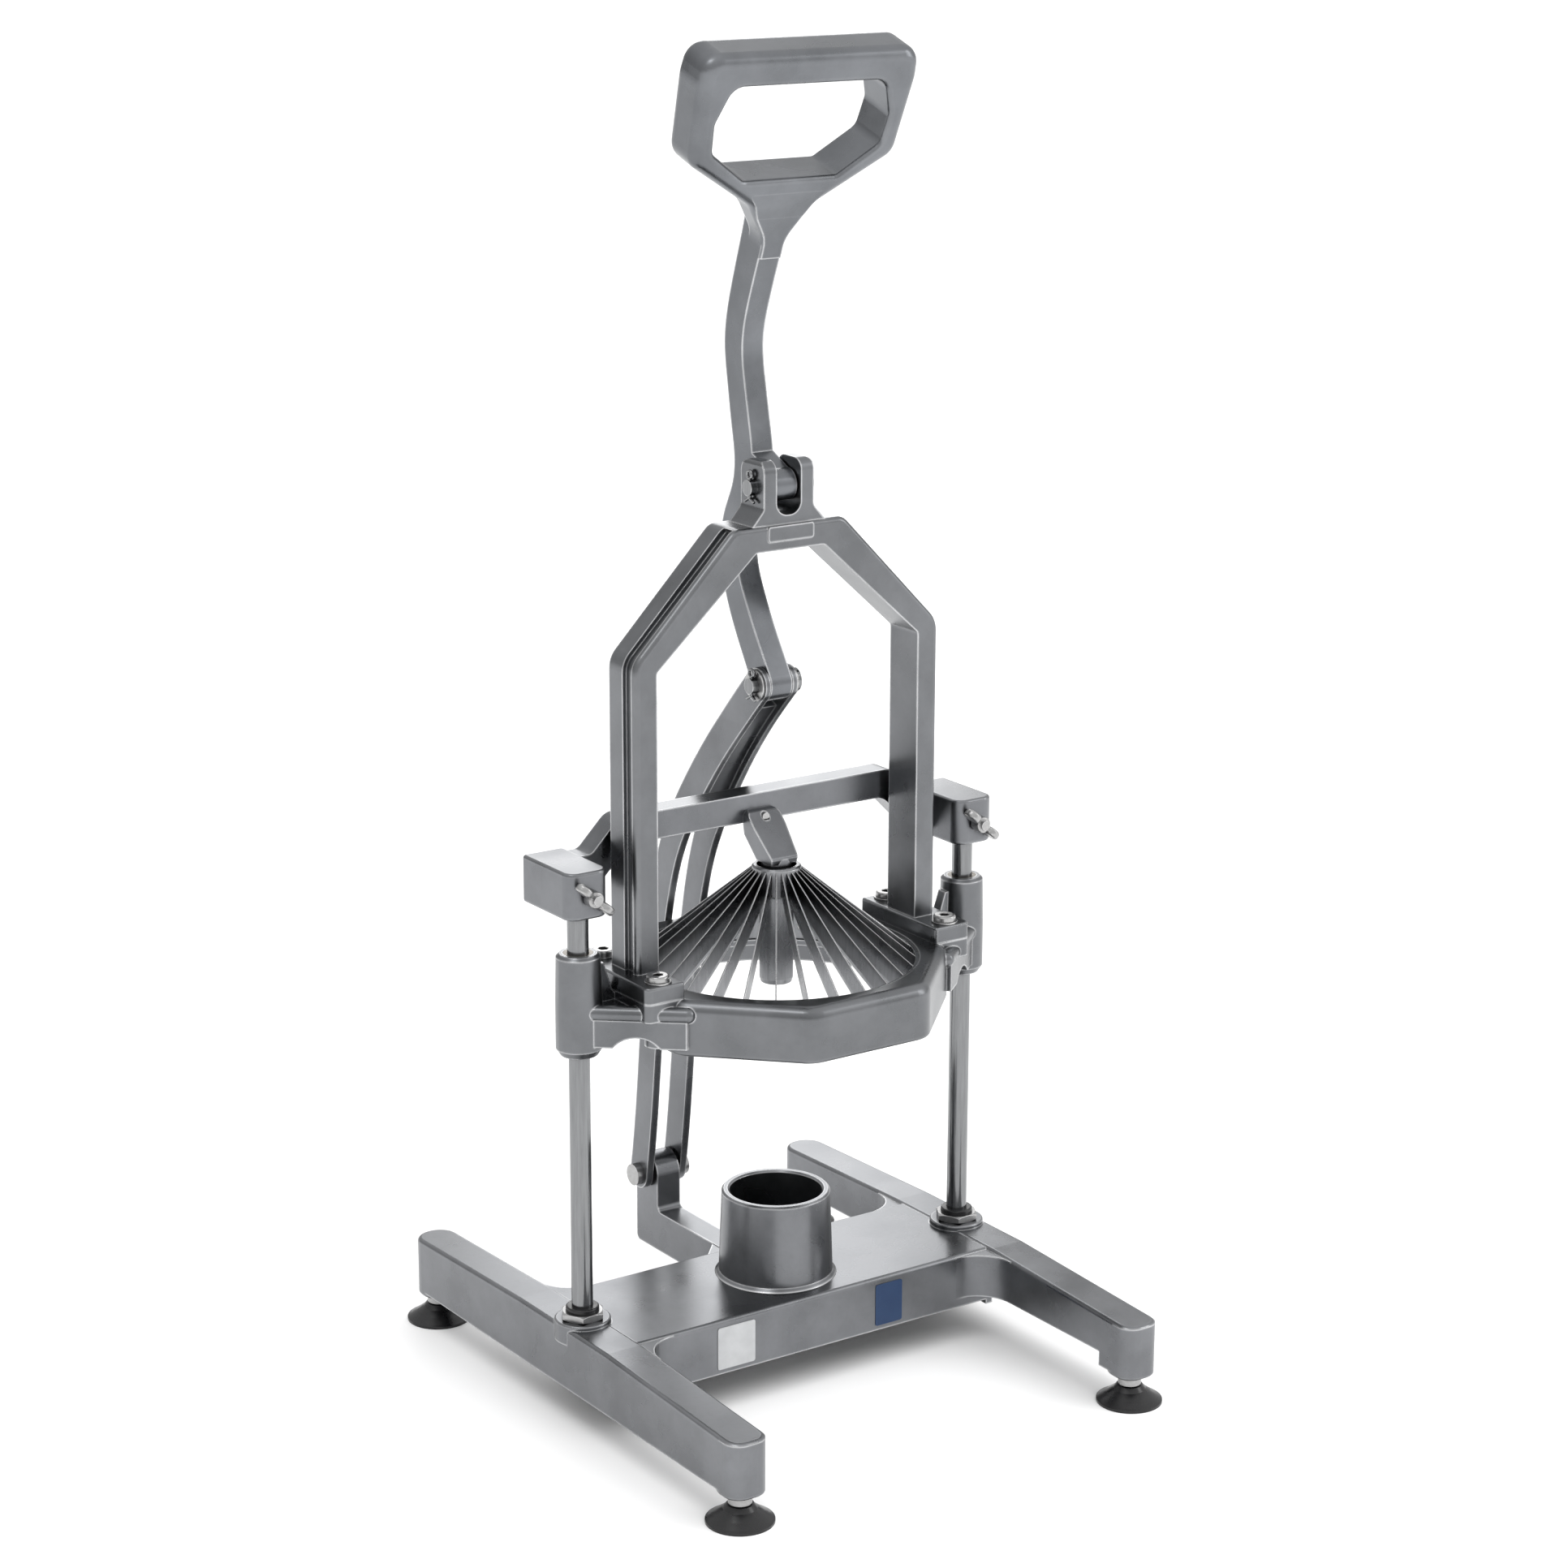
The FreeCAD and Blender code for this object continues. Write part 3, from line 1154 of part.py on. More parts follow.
def link_web():
    """The wall that ties the two plates, set a little back from their front edge."""
    back = LINK_TOP_R - LINK_WEB_RECESS - LINK_WEB_T / 2
    line = link_line()[:4]
    middle = []
    for i, (y, z, _) in enumerate(line):
        y0, z0, _ = line[max(i - 1, 0)]
        y1, z1, _ = line[min(i + 1, len(line) - 1)]
        length = math.hypot(y1 - y0, z1 - z0)
        middle.append((y + (z1 - z0) / length * back, z - (y1 - y0) / length * back, LINK_WEB_T / 2))
    band = strip_x(middle, -LINK_LEG_GAP / 2, LINK_LEG_GAP / 2)
    return band.cut(crosswise(LINK_WEB_START, -LINK_LEG_GAP, LINK_LEG_GAP, LINK_PIN_Y, LINK_PIN_Z))


def link_fork():
    plate = link_plate()
    body = fuse(link_web(), plate, mirrored(plate))
    body = body.cut(crosswise(PIN_R, -30, 30, LINK_PIN_Y, LINK_PIN_Z))
    return body.cut(crosswise(TAIL_SCREW_R, -30, 30, TAIL_PIVOT_Y, TAIL_PIVOT_Z))


def link_half():
    return LINK_TOP_GAP / 2 + LINK_PLATE_T


def link_pin():
    """The pin through the link's plates and the lever's lower end."""
    outer = link_half() + WASHER_T
    shank = crosswise(PIN_R, -outer - PIN_TAIL, outer + 1, LINK_PIN_Y, LINK_PIN_Z)
    head = crosswise(PIN_HEAD_R, outer, outer + PIN_HEAD_H, LINK_PIN_Y, LINK_PIN_Z)
    return fuse(shank, head).cut(cotter_hole(-outer - PIN_TAIL / 2, LINK_PIN_Y, LINK_PIN_Z))


def link_washer(sign):
    x0 = sign * link_half()
    x1 = sign * (link_half() + WASHER_T)
    return washer_x(WASHER_R, PIN_R, min(x0, x1), max(x0, x1), LINK_PIN_Y, LINK_PIN_Z)


def tail_screw(sign):
    """A shoulder screw in one leg of the fork; it stops short of the tail's ear."""
    inner = LINK_LEG_GAP / 2
    outer = inner + LINK_LEG_T
    shank = crosswise(TAIL_SCREW_R, sign * inner, sign * (outer + 1), TAIL_PIVOT_Y, TAIL_PIVOT_Z)
    end = outer + TAIL_SCREW_HEAD_H
    head = crosswise(TAIL_SCREW_HEAD_R, sign * outer, sign * end, TAIL_PIVOT_Y, TAIL_PIVOT_Z)
    return fuse(shank, head)


# ---------------------------------------------------------------- assembly

def both(maker):
    return [maker(sign) for sign in SIDES.values()]


def feet(maker):
    return [maker(sign, y) for sign in SIDES.values() for y in (FOOT_Y_FRONT, FOOT_Y_REAR)]


def arch_corners(maker):
    return [maker(sign, y) for sign in SIDES.values() for y in (-ARCH_BOLT_Y, ARCH_BOLT_Y)]


def nodes():
    """Every named node with its list of solids."""
    made = {
        "base_casting": [base_casting()],
        "rod_top_nuts": both(rod_top_nut),
        "rod_end_washers": both(rod_end_washer),
        "rod_end_nuts": both(rod_end_nut),
        "foot_studs": feet(foot_stud),
        "cup_post": [cup_post()],
        "cup_screw": [cup_screw()],
        "label_wide": [label(LABEL_WIDE)],
        "label_narrow": [label(LABEL_NARROW)],
        "yoke": [yoke()],
        "core_ejector": [core_ejector()],
        "ejector_screw": [ejector_screw()],
        "carriage_casting": [carriage_casting()],
        "upper_bushings": [rod_bushing(sign, HOUSING_TOP - BUSHING_H) for sign in SIDES.values()],
        "lower_bushings": [rod_bushing(sign, HOUSING_BOTTOM) for sign in SIDES.values()],
        "blade_ring": [blade_ring()],
        "blades": [blade(i) for i in range(BLADE_COUNT)],
        "blade_hub": [blade_hub()],
        "core_tube": [core_tube()],
        "blade_ring_screws": [ring_screw(place) for place in ring_screw_places()],
        "arch_frame": [arch_frame()],
        "arch_bolts": arch_corners(arch_bolt),
        "arch_washers": arch_corners(arch_washer),
        "clevis_pin": [clevis_pin()],
        "clevis_cotter": [cotter(-CLEVIS_SLOT_W / 2 - CLEVIS_EAR_T - PIN_TAIL / 2, 0, PIVOT_Z)],
        "lever_handle": [lever_handle()],
        "lever_hub_bush": [lever_bush(0, PIVOT_Z)],
        "lever_end_bush": [lever_bush(LINK_PIN_Y, LINK_PIN_Z)],
        "link_fork": [link_fork()],
        "link_pin": [link_pin()],
        "link_washers": both(link_washer),
        "link_cotter": [cotter(-link_half() - WASHER_T - PIN_TAIL / 2, LINK_PIN_Y, LINK_PIN_Z)],
        "tail_pivot_screws": both(tail_screw),
    }
    for side, sign in SIDES.items():
        made["guide_rod_" + side] = [guide_rod(sign)]
        made["rod_bumper_" + side] = [rod_bumper(sign)]
        made["wing_screw_" + side] = [wing_screw(sign)]
        made["foot_cup_front_" + side] = [foot_cup(sign, FOOT_Y_FRONT)]
        made["foot_cup_rear_" + side] = [foot_cup(sign, FOOT_Y_REAR)]
    return made


def write_nodes():
    os.makedirs("parts", exist_ok=True)
    for name, solids in nodes().items():
        shape = solids[0] if len(solids) == 1 else Part.makeCompound(solids)
        shape.exportStep("parts/" + name + ".step")


write_nodes()
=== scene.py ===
"""The studio look of a lever-operated vegetable dicer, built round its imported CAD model."""

import json
import logging
import math
from dataclasses import dataclass
from enum import Enum

import bmesh
import bpy
from mathutils import Matrix, Vector

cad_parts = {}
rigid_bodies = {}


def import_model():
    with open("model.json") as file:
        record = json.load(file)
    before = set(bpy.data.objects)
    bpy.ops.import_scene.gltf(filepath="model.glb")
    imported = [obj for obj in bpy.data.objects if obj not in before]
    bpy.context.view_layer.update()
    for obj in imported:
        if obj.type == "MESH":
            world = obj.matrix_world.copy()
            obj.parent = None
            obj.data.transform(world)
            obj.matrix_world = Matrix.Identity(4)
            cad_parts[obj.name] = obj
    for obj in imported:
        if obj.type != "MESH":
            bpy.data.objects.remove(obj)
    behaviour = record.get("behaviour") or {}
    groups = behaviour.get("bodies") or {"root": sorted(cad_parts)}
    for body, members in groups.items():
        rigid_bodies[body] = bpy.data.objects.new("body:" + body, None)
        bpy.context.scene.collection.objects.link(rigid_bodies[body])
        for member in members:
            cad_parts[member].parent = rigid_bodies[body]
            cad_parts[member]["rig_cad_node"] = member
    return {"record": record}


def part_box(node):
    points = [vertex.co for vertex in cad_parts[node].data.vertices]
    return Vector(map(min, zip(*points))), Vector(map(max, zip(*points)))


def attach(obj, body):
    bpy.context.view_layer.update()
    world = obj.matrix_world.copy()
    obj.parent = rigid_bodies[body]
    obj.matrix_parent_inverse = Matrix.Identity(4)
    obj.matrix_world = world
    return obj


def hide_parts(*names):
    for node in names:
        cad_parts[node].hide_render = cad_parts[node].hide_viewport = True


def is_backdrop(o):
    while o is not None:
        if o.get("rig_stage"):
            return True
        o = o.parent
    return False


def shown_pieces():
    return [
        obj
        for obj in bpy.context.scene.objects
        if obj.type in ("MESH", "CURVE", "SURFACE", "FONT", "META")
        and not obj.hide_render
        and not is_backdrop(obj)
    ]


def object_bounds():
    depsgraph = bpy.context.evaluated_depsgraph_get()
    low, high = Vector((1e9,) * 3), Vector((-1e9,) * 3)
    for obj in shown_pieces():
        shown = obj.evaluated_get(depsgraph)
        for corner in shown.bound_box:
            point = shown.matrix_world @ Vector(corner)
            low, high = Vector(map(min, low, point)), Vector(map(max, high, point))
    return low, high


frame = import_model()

CAD_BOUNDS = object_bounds()
SLOT_OF_NODE = {part["node"]: part["material_slot"] for part in frame["record"]["subparts"]}
MM = 0.001
CLOSE = 0.01 * MM
Colour = tuple[float, float, float]
Place = tuple[float, float, float]
Profile = list[tuple[float, float]]
log = logging.getLogger("dicer")


class Slot(Enum):
    """The record's material slots."""

    BASE = "base_aluminium"
    YOKE = "yoke_aluminium"
    CARRIAGE = "carriage_aluminium"
    LEVER = "lever_aluminium"
    LINK = "link_aluminium"
    STEEL = "polished_steel"
    BLADE = "blade_steel"
    ZINC = "zinc_hardware"
    BRONZE = "bushing_bronze"
    RUBBER = "black_rubber"
    LABEL_PALE = "label_pale"
    LABEL_BLUE = "label_blue"


class Body(Enum):
    """The moving bodies that pieces ride on."""

    BASE = "base"
    CARRIAGE = "carriage"
    LEVER = "lever"
    LINK = "link"


# ---------------------------------------------------------------- material graphs

EDGE_SAMPLES = 6
SOFTENED_EDGE = 0.5 * MM
NOISE_ROUGHNESS = 0.55


class Graph:
    """A material's nodes, with short calls to add and join them."""

    def __init__(self, name: str) -> None:
        """Start an empty material.

        Args:
            name: The material's name.
        """
        self.material = bpy.data.materials.new(name)
        self.material.use_nodes = True
        self.tree = self.material.node_tree
        self.tree.nodes.clear()
        self.shader = self.tree.nodes.new("ShaderNodeBsdfPrincipled")
        output = self.tree.nodes.new("ShaderNodeOutputMaterial")
        self.tree.links.new(self.shader.outputs["BSDF"], output.inputs["Surface"])
        self.place = self.node("ShaderNodeTexCoord").outputs["Object"]

    def node(self, kind: str, **settings: object) -> bpy.types.Node:
        """Add a node.

        Args:
            kind: The node's type.
            **settings: Properties to set on it.

        Returns:
            The new node.
        """
        made = self.tree.nodes.new(kind)
        for key, value in settings.items():
            setattr(made, key, value)
        return made

    def feed(self, node: bpy.types.Node, **sockets: object) -> bpy.types.Node:
        """Set or join a node's inputs by name, with _ for a space.

        Args:
            node: The node.
            **sockets: A value, or an output to join, for each input.

        Returns:
            The same node.
        """
        for key, value in sockets.items():
            socket = node.inputs[key.replace("_", " ")]
            if isinstance(value, bpy.types.NodeSocket):
                self.tree.links.new(value, socket)
            else:
                socket.default_value = value
        return node

    def noise(self, scale: float, detail: float = 3.0,
              stretch: Place | None = None) -> bpy.types.NodeSocket:
        """A noise pattern over the piece.

        Args:
            scale: Blotches per metre.
            detail: Octaves.
            stretch: Scale along each axis, for a grain that runs one way.

        Returns:
            The noise's value.
        """
        place = self.place
        if stretch is not None:
            mapping = self.node("ShaderNodeMapping")
            self.feed(mapping, Vector=place, Scale=stretch)
            place = mapping.outputs["Vector"]
        texture = self.node("ShaderNodeTexNoise")
        self.feed(texture, Vector=place, Scale=scale, Detail=detail,
                  Roughness=NOISE_ROUGHNESS)
        return texture.outputs["Fac"]

    def spread(self, value: bpy.types.NodeSocket, low: float, high: float,
               start: float = 0.3, end: float = 0.7) -> bpy.types.NodeSocket:
        """Map a value from one range to another.

        Args:
            value: The value.
            low: What the start of the range becomes.
            high: What the end of the range becomes.
            start: The range's start.
            end: The range's end.

        Returns:
            The mapped value.
        """
        made = self.node("ShaderNodeMapRange")
        self.feed(made, Value=value, From_Min=start, From_Max=end, To_Min=low, To_Max=high)
        return made.outputs["Result"]

    def times(self, first: bpy.types.NodeSocket,
              second: bpy.types.NodeSocket) -> bpy.types.NodeSocket:
        """The product of two values.

        Args:
            first: A value.
            second: A value.

        Returns:
            Their product.
        """
        made = self.node("ShaderNodeMath", operation="MULTIPLY")
        self.tree.links.new(first, made.inputs[0])
        self.tree.links.new(second, made.inputs[1])
        return made.outputs["Value"]

    def blend(self, share: bpy.types.NodeSocket, first: object,
              second: object) -> bpy.types.NodeSocket:
        """Mix two colours.

        Args:
            share: How much of the second colour.
            first: A colour or an output.
            second: A colour or an output.

        Returns:
            The mixed colour.
        """
        made = self.node("ShaderNodeMix", data_type="RGBA")
        self.tree.links.new(share, made.inputs[0])
        colours = [socket for socket in made.inputs if socket.type == "RGBA"]
        for socket, value in zip(colours, (first, second)):
            if isinstance(value, bpy.types.NodeSocket):
                self.tree.links.new(value, socket)
            else:
                socket.default_value = (*value, 1.0)
        return next(socket for socket in made.outputs if socket.type == "RGBA")

    def edge_share(self, radius: float, reach: float) -> bpy.types.NodeSocket:
        """How near a sharp edge a point is, from 0 to 1.

        Args:
            radius: How far from the edge it reaches, in metres.
            reach: The change of slope that counts as a full edge.

        Returns:
            The share.
        """
        bevel = self.node("ShaderNodeBevel", samples=EDGE_SAMPLES)
        self.feed(bevel, Radius=radius)
        plain = self.node("ShaderNodeNewGeometry")
        dot = self.node("ShaderNodeVectorMath", operation="DOT_PRODUCT")
        self.tree.links.new(bevel.outputs["Normal"], dot.inputs[0])
        self.tree.links.new(plain.outputs["Normal"], dot.inputs[1])
        return self.spread(dot.outputs["Value"], 0.0, 1.0, 1.0, 1.0 - reach)

    def corner_share(self, reach: float) -> bpy.types.NodeSocket:
        """How open a point is: 0 deep in a corner and 1 in the open.

        Args:
            reach: How far it looks for a neighbour, in metres.

        Returns:
            The share.
        """
        shade = self.node("ShaderNodeAmbientOcclusion", samples=EDGE_SAMPLES)
        self.feed(shade, Distance=reach)
        return shade.outputs["AO"]

    def bumps(self, *layers: tuple[bpy.types.NodeSocket, float]) -> None:
        """Roughen the surface with layers of relief on softened edges.

        Args:
            *layers: A height and its depth in metres, for each layer.
        """
        soft = self.node("ShaderNodeBevel", samples=EDGE_SAMPLES)
        self.feed(soft, Radius=SOFTENED_EDGE)
        normal = soft.outputs["Normal"]
        for height, depth in layers:
            bump = self.node("ShaderNodeBump")
            self.feed(bump, Height=height, Distance=depth, Strength=1.0, Normal=normal)
            normal = bump.outputs["Normal"]
        self.feed(self.shader, Normal=normal)


# ---------------------------------------------------------------- finishes

@dataclass(frozen=True)
class CastFinish:
    """Tumbled cast aluminium: soft blotches, fine grain, dark pits, a painted highlight along the
    edges and painted shade in the corners.
    """

    shade: Colour = (0.190, 0.195, 0.205)
    # Pale colour painted along sharp edges as a highlight.
    edge_highlight: Colour = (0.72, 0.725, 0.735)
    # Dark colour for the random pits, which are a real stain, and for the painted shade in
    # corners.
    stain_and_corner_shade: Colour = (0.10, 0.101, 0.106)
    lighter: float = 1.18
    darker: float = 0.80
    roughness: float = 0.27
    blotch_per_m: float = 22.0
    blotch_depth: float = 0.10 * MM
    pit_per_m: float = 330.0
    pit_depth: float = 0.009 * MM
    pit_share: float = 0.10
    grain_per_m: float = 1500.0
    grain_depth: float = 0.001 * MM
    edge_radius: float = 1.8 * MM
    edge_reach: float = 0.08
    corner_reach: float = 7.0 * MM
    # How far the painted corner shade darkens.
    corner_share: float = 0.5

    def material(self, name: str) -> bpy.types.Material:
        """Build the material.

        Args:
            name: The slot it is for.

        Returns:
            The material.
        """
        graph = Graph(name)
        blotch = graph.noise(self.blotch_per_m, 4.0)
        pits = graph.noise(self.pit_per_m, 3.0)
        grain = graph.noise(self.grain_per_m, 2.0)
        light = tuple(part * self.lighter for part in self.shade)
        dark = tuple(part * self.darker for part in self.shade)
        colour = graph.blend(graph.spread(blotch, 0.0, 1.0), dark, light)
        pitted = graph.spread(pits, 0.0, self.pit_share, 0.5, 0.8)
        colour = graph.blend(pitted, colour, self.stain_and_corner_shade)
        # Painted highlight: edges are mixed toward the pale colour, varied by the blotch noise.
        rubbed = graph.times(graph.edge_share(self.edge_radius, self.edge_reach),
                             graph.spread(blotch, 0.5, 1.0))
        colour = graph.blend(rubbed, colour, self.edge_highlight)
        # Painted shade: corners and recesses found by the ambient-occlusion node are darkened
        # toward the dark colour.
        corner = graph.spread(graph.corner_share(self.corner_reach), self.corner_share, 0.0,
                              0.25, 0.85)
        colour = graph.blend(corner, colour, self.stain_and_corner_shade)
        rough = graph.spread(blotch, self.roughness - 0.04, self.roughness + 0.10)
        graph.feed(graph.shader, Base_Color=colour, Roughness=rough, Metallic=1.0)
        graph.bumps((blotch, self.blotch_depth), (pits, self.pit_depth),
                    (grain, self.grain_depth))
        return graph.material


@dataclass(frozen=True)
class TurnedFinish:
    """Ground or drawn steel with fine marks that run one way, a painted highlight along the edges
    and painted shade in the corners.
    """

    shade: Colour = (0.25, 0.255, 0.26)
    dark: Colour = (0.11, 0.112, 0.117)
    # Near-white colour painted along sharp edges as a highlight.
    edge_glint: Colour = (0.8, 0.8, 0.8)
    # Near-black colour of the painted shade in corners.
    corner_shade_colour: Colour = (0.05, 0.05, 0.055)
    roughness: float = 0.12
    marks_per_m: float = 900.0
    marks_depth: float = 0.004 * MM
    stretch: Place = (1.0, 1.0, 0.05)
    smudge_per_m: float = 34.0
    edge_radius: float = 0.6 * MM
    edge_reach: float = 0.2
    corner_reach: float = 8.0 * MM
    # How far the painted corner shade darkens.
    corner_share: float = 0.8

    def material(self, name: str) -> bpy.types.Material:
        """Build the material.

        Args:
            name: The slot it is for.

        Returns:
            The material.
        """
        graph = Graph(name)
        marks = graph.noise(self.marks_per_m, 3.0, self.stretch)
        smudge = graph.noise(self.smudge_per_m, 3.0)
        colour = graph.blend(graph.spread(marks, 0.0, 0.35), self.shade, self.dark)
        # Painted highlight: edges are mixed toward the near-white colour.
        edge = graph.edge_share(self.edge_radius, self.edge_reach)
        colour = graph.blend(edge, colour, self.edge_glint)
        # Painted shade: corners found by the ambient-occlusion node are darkened toward the
        # near-black colour.
        corner = graph.spread(graph.corner_share(self.corner_reach), self.corner_share, 0.0,
                              0.2, 0.8)
        colour = graph.blend(corner, colour, self.corner_shade_colour)
        rough = graph.spread(smudge, self.roughness, self.roughness + 0.12)
        graph.feed(graph.shader, Base_Color=colour, Roughness=rough, Metallic=1.0)
        graph.bumps((marks, self.marks_depth))
        return graph.material


@dataclass(frozen=True)
class RubberFinish:
    """Moulded rubber, slightly dusty, with a soft gloss."""

    shade: Colour = (0.006, 0.006, 0.007)
    dust: Colour = (0.022, 0.021, 0.020)
    roughness: float = 0.20
    dust_per_m: float = 120.0
    dust_depth: float = 0.05 * MM
    grain_per_m: float = 1300.0
    grain_depth: float = 0.01 * MM
    edge_radius: float = 0.9 * MM
    edge_reach: float = 0.3

    def material(self, name: str) -> bpy.types.Material:
        """Build the material.

        Args:
            name: The slot it is for.

        Returns:
            The material.
        """
        graph = Graph(name)
        dust = graph.noise(self.dust_per_m, 4.0)
        grain = graph.noise(self.grain_per_m, 2.0)
        colour = graph.blend(graph.spread(dust, 0.0, 0.35, 0.5, 0.8), self.shade, self.dust)
        rubbed = graph.times(graph.edge_share(self.edge_radius, self.edge_reach), dust)
        colour = graph.blend(rubbed, colour, self.dust)
        rough = graph.spread(dust, self.roughness, self.roughness + 0.2)
        graph.feed(graph.shader, Base_Color=colour, Roughness=rough, Specular_IOR_Level=0.5)
        graph.bumps((dust, self.dust_depth), (grain, self.grain_depth))
        return graph.material


@dataclass(frozen=True)
class LabelFinish:
    """A blank film label, faintly creased and rubbed at its edges."""

    shade: Colour
    rubbed: Colour
    roughness: float = 0.35
    mottle_per_m: float = 90.0
    mottle_depth: float = 0.02 * MM
    crease_per_m: float = 45.0
    crease_depth: float = 0.06 * MM
    crease_stretch: Place = (1.0, 1.0, 5.0)
    edge_radius: float = 0.8 * MM
    edge_reach: float = 0.3

    def material(self, name: str) -> bpy.types.Material:
        """Build the material.

        Args:
            name: The slot it is for.

        Returns:
            The material.
        """
        graph = Graph(name)
        mottle = graph.noise(self.mottle_per_m, 4.0)
        crease = graph.noise(self.crease_per_m, 2.0, self.crease_stretch)
        colour = graph.blend(graph.spread(mottle, 0.0, 0.4), self.shade, self.rubbed)
        edge = graph.edge_share(self.edge_radius, self.edge_reach)
        colour = graph.blend(edge, colour, self.rubbed)
        rough = graph.spread(mottle, self.roughness, self.roughness + 0.15)
        graph.feed(graph.shader, Base_Color=colour, Roughness=rough)
        graph.bumps((crease, self.crease_depth), (mottle, self.mottle_depth))
        return graph.material


FINISHES = {
    Slot.BASE: CastFinish(),
    Slot.YOKE: CastFinish(shade=(0.175, 0.18, 0.19)),
    Slot.CARRIAGE: CastFinish(shade=(0.165, 0.17, 0.178)),
    Slot.LEVER: CastFinish(shade=(0.165, 0.172, 0.183), roughness=0.25),
    Slot.LINK: CastFinish(shade=(0.17, 0.175, 0.184)),
    Slot.STEEL: TurnedFinish(),
    Slot.BLADE: TurnedFinish(shade=(0.25, 0.255, 0.265), dark=(0.12, 0.122, 0.13), roughness=0.22,
                             marks_per_m=700.0, stretch=(1.0, 1.0, 0.12), marks_depth=0.01 * MM),
    Slot.ZINC: TurnedFinish(shade=(0.42, 0.42, 0.42), dark=(0.24, 0.235, 0.225), roughness=0.24,
                            marks_per_m=500.0, stretch=(1.0, 1.0, 1.0), marks_depth=0.008 * MM),
    Slot.BRONZE: TurnedFinish(shade=(0.22, 0.20, 0.17), dark=(0.12, 0.10, 0.08), roughness=0.3,
                              stretch=(1.0, 1.0, 1.0), marks_depth=0.008 * MM),
    Slot.RUBBER: RubberFinish(),
    Slot.LABEL_PALE: LabelFinish(shade=(0.62, 0.63, 0.64), rubbed=(0.40, 0.41, 0.42)),
    Slot.LABEL_BLUE: LabelFinish(shade=(0.004, 0.03, 0.10), rubbed=(0.02, 0.06, 0.15)),
}


# ---------------------------------------------------------------- meshes

def lathe(profile: Profile, segments: int) -> bmesh.types.BMesh:
    """Turn a half section about Z.

    Args:
        profile: Radius and height of each point, closed at both ends on the axis.
        segments: Faces round.

    Returns:
        The mesh being built.
    """
    mesh = bmesh.new()
    points = [mesh.verts.new((radius, 0.0, height)) for radius, height in profile]
    edges = [mesh.edges.new(pair) for pair in zip(points, points[1:])]
    bmesh.ops.spin(mesh, geom=points + edges, cent=(0, 0, 0), axis=(0, 0, 1),
                   angle=math.tau, steps=segments)
    bmesh.ops.remove_doubles(mesh, verts=mesh.verts, dist=1e-6)
    bmesh.ops.recalc_face_normals(mesh, faces=mesh.faces)
    return mesh


def as_object(name: str, mesh: bmesh.types.BMesh) -> bpy.types.Object:
    """Turn a finished mesh into a scene object and free it.

    Args:
        name: The object's name.
        mesh: The mesh being built.

    Returns:
        The object.
    """
    data = bpy.data.meshes.new(name)
    mesh.to_mesh(data)
    mesh.free()
    made = bpy.data.objects.new(name, data)
    bpy.context.scene.collection.objects.link(made)
    return made


# ---------------------------------------------------------------- repeats by geometry nodes

class Repeat:
    """A geometry tree that sets copies of one part at points, then makes them one mesh."""

    def __init__(self, name: str) -> None:
        """Start the tree.

        Args:
            name: The tree's name.
        """
        self.tree = bpy.data.node_groups.new(name, "GeometryNodeTree")
        self.values = {}
        for way in ("INPUT", "OUTPUT"):
            self.tree.interface.new_socket("Geometry", in_out=way,
                                           socket_type="NodeSocketGeometry")
        self.entry = self.tree.nodes.new("NodeGroupInput")

    def size(self, name: str, kind: str, value: object) -> bpy.types.NodeSocket:
        """Add a named input.

        Args:
            name: The input's name.
            kind: Its socket type.
            value: The value it is given.

        Returns:
            The input's output inside the tree.
        """
        item = self.tree.interface.new_socket(name, in_out="INPUT", socket_type=kind)
        self.values[item.identifier] = value
        return self.entry.outputs[name]

    def node(self, kind: str, joins: dict[str, object], **settings: object) -> bpy.types.Node:
        """Add a node and join or set its inputs.

        Args:
            kind: The node's type.
            joins: A value or an output for each named input.
            **settings: Properties to set on it.

        Returns:
            The node.
        """
        made = self.tree.nodes.new(kind)
        for key, value in settings.items():
            setattr(made, key, value)
        for key, value in joins.items():
            if isinstance(value, bpy.types.NodeSocket):
                self.tree.links.new(value, made.inputs[key])
            else:
                made.inputs[key].default_value = value
        return made

    def finish(self, points: bpy.types.NodeSocket, turn: bpy.types.NodeSocket,
               part: bpy.types.Object, material: bpy.types.Material) -> None:
        """Set the part at the points and close the tree.

        Args:
            points: The points.
            turn: Each copy's rotation.
            part: The part that is copied.
            material: The material of the copies.
        """
        source = self.node("GeometryNodeObjectInfo",
                           {"Object": self.size("Part", "NodeSocketObject", part)})
        copies = self.node("GeometryNodeInstanceOnPoints",
                           {"Points": points, "Instance": source.outputs["Geometry"],
                            "Rotation": turn})
        real = self.node("GeometryNodeRealizeInstances", {"Geometry": copies.outputs["Instances"]})
        dressed = self.node("GeometryNodeSetMaterial",
                            {"Geometry": real.outputs["Geometry"],
                             "Material": self.size("Material", "NodeSocketMaterial", material)})
        end = self.tree.nodes.new("NodeGroupOutput")
        self.tree.links.new(dressed.outputs["Geometry"], end.inputs["Geometry"])

    def plain_mesh(self, name: str, part: bpy.types.Object) -> bpy.types.Object:
        """Run the tree once and keep its result as a plain mesh.

        Args:
            name: The finished piece's name.
            part: The part that was copied, which is removed.

        Returns:
            The finished piece.
        """
        holder = as_object(name, bmesh.new())
        modifier = holder.modifiers.new("repeat", "NODES")
        modifier.node_group = self.tree
        for identifier, value in self.values.items():
            modifier[identifier] = value
        graph = bpy.context.evaluated_depsgraph_get()
        result = bpy.data.meshes.new_from_object(holder.evaluated_get(graph), depsgraph=graph)
        holder.modifiers.clear()
        holder.data = result
        bpy.data.objects.remove(part)
        return holder


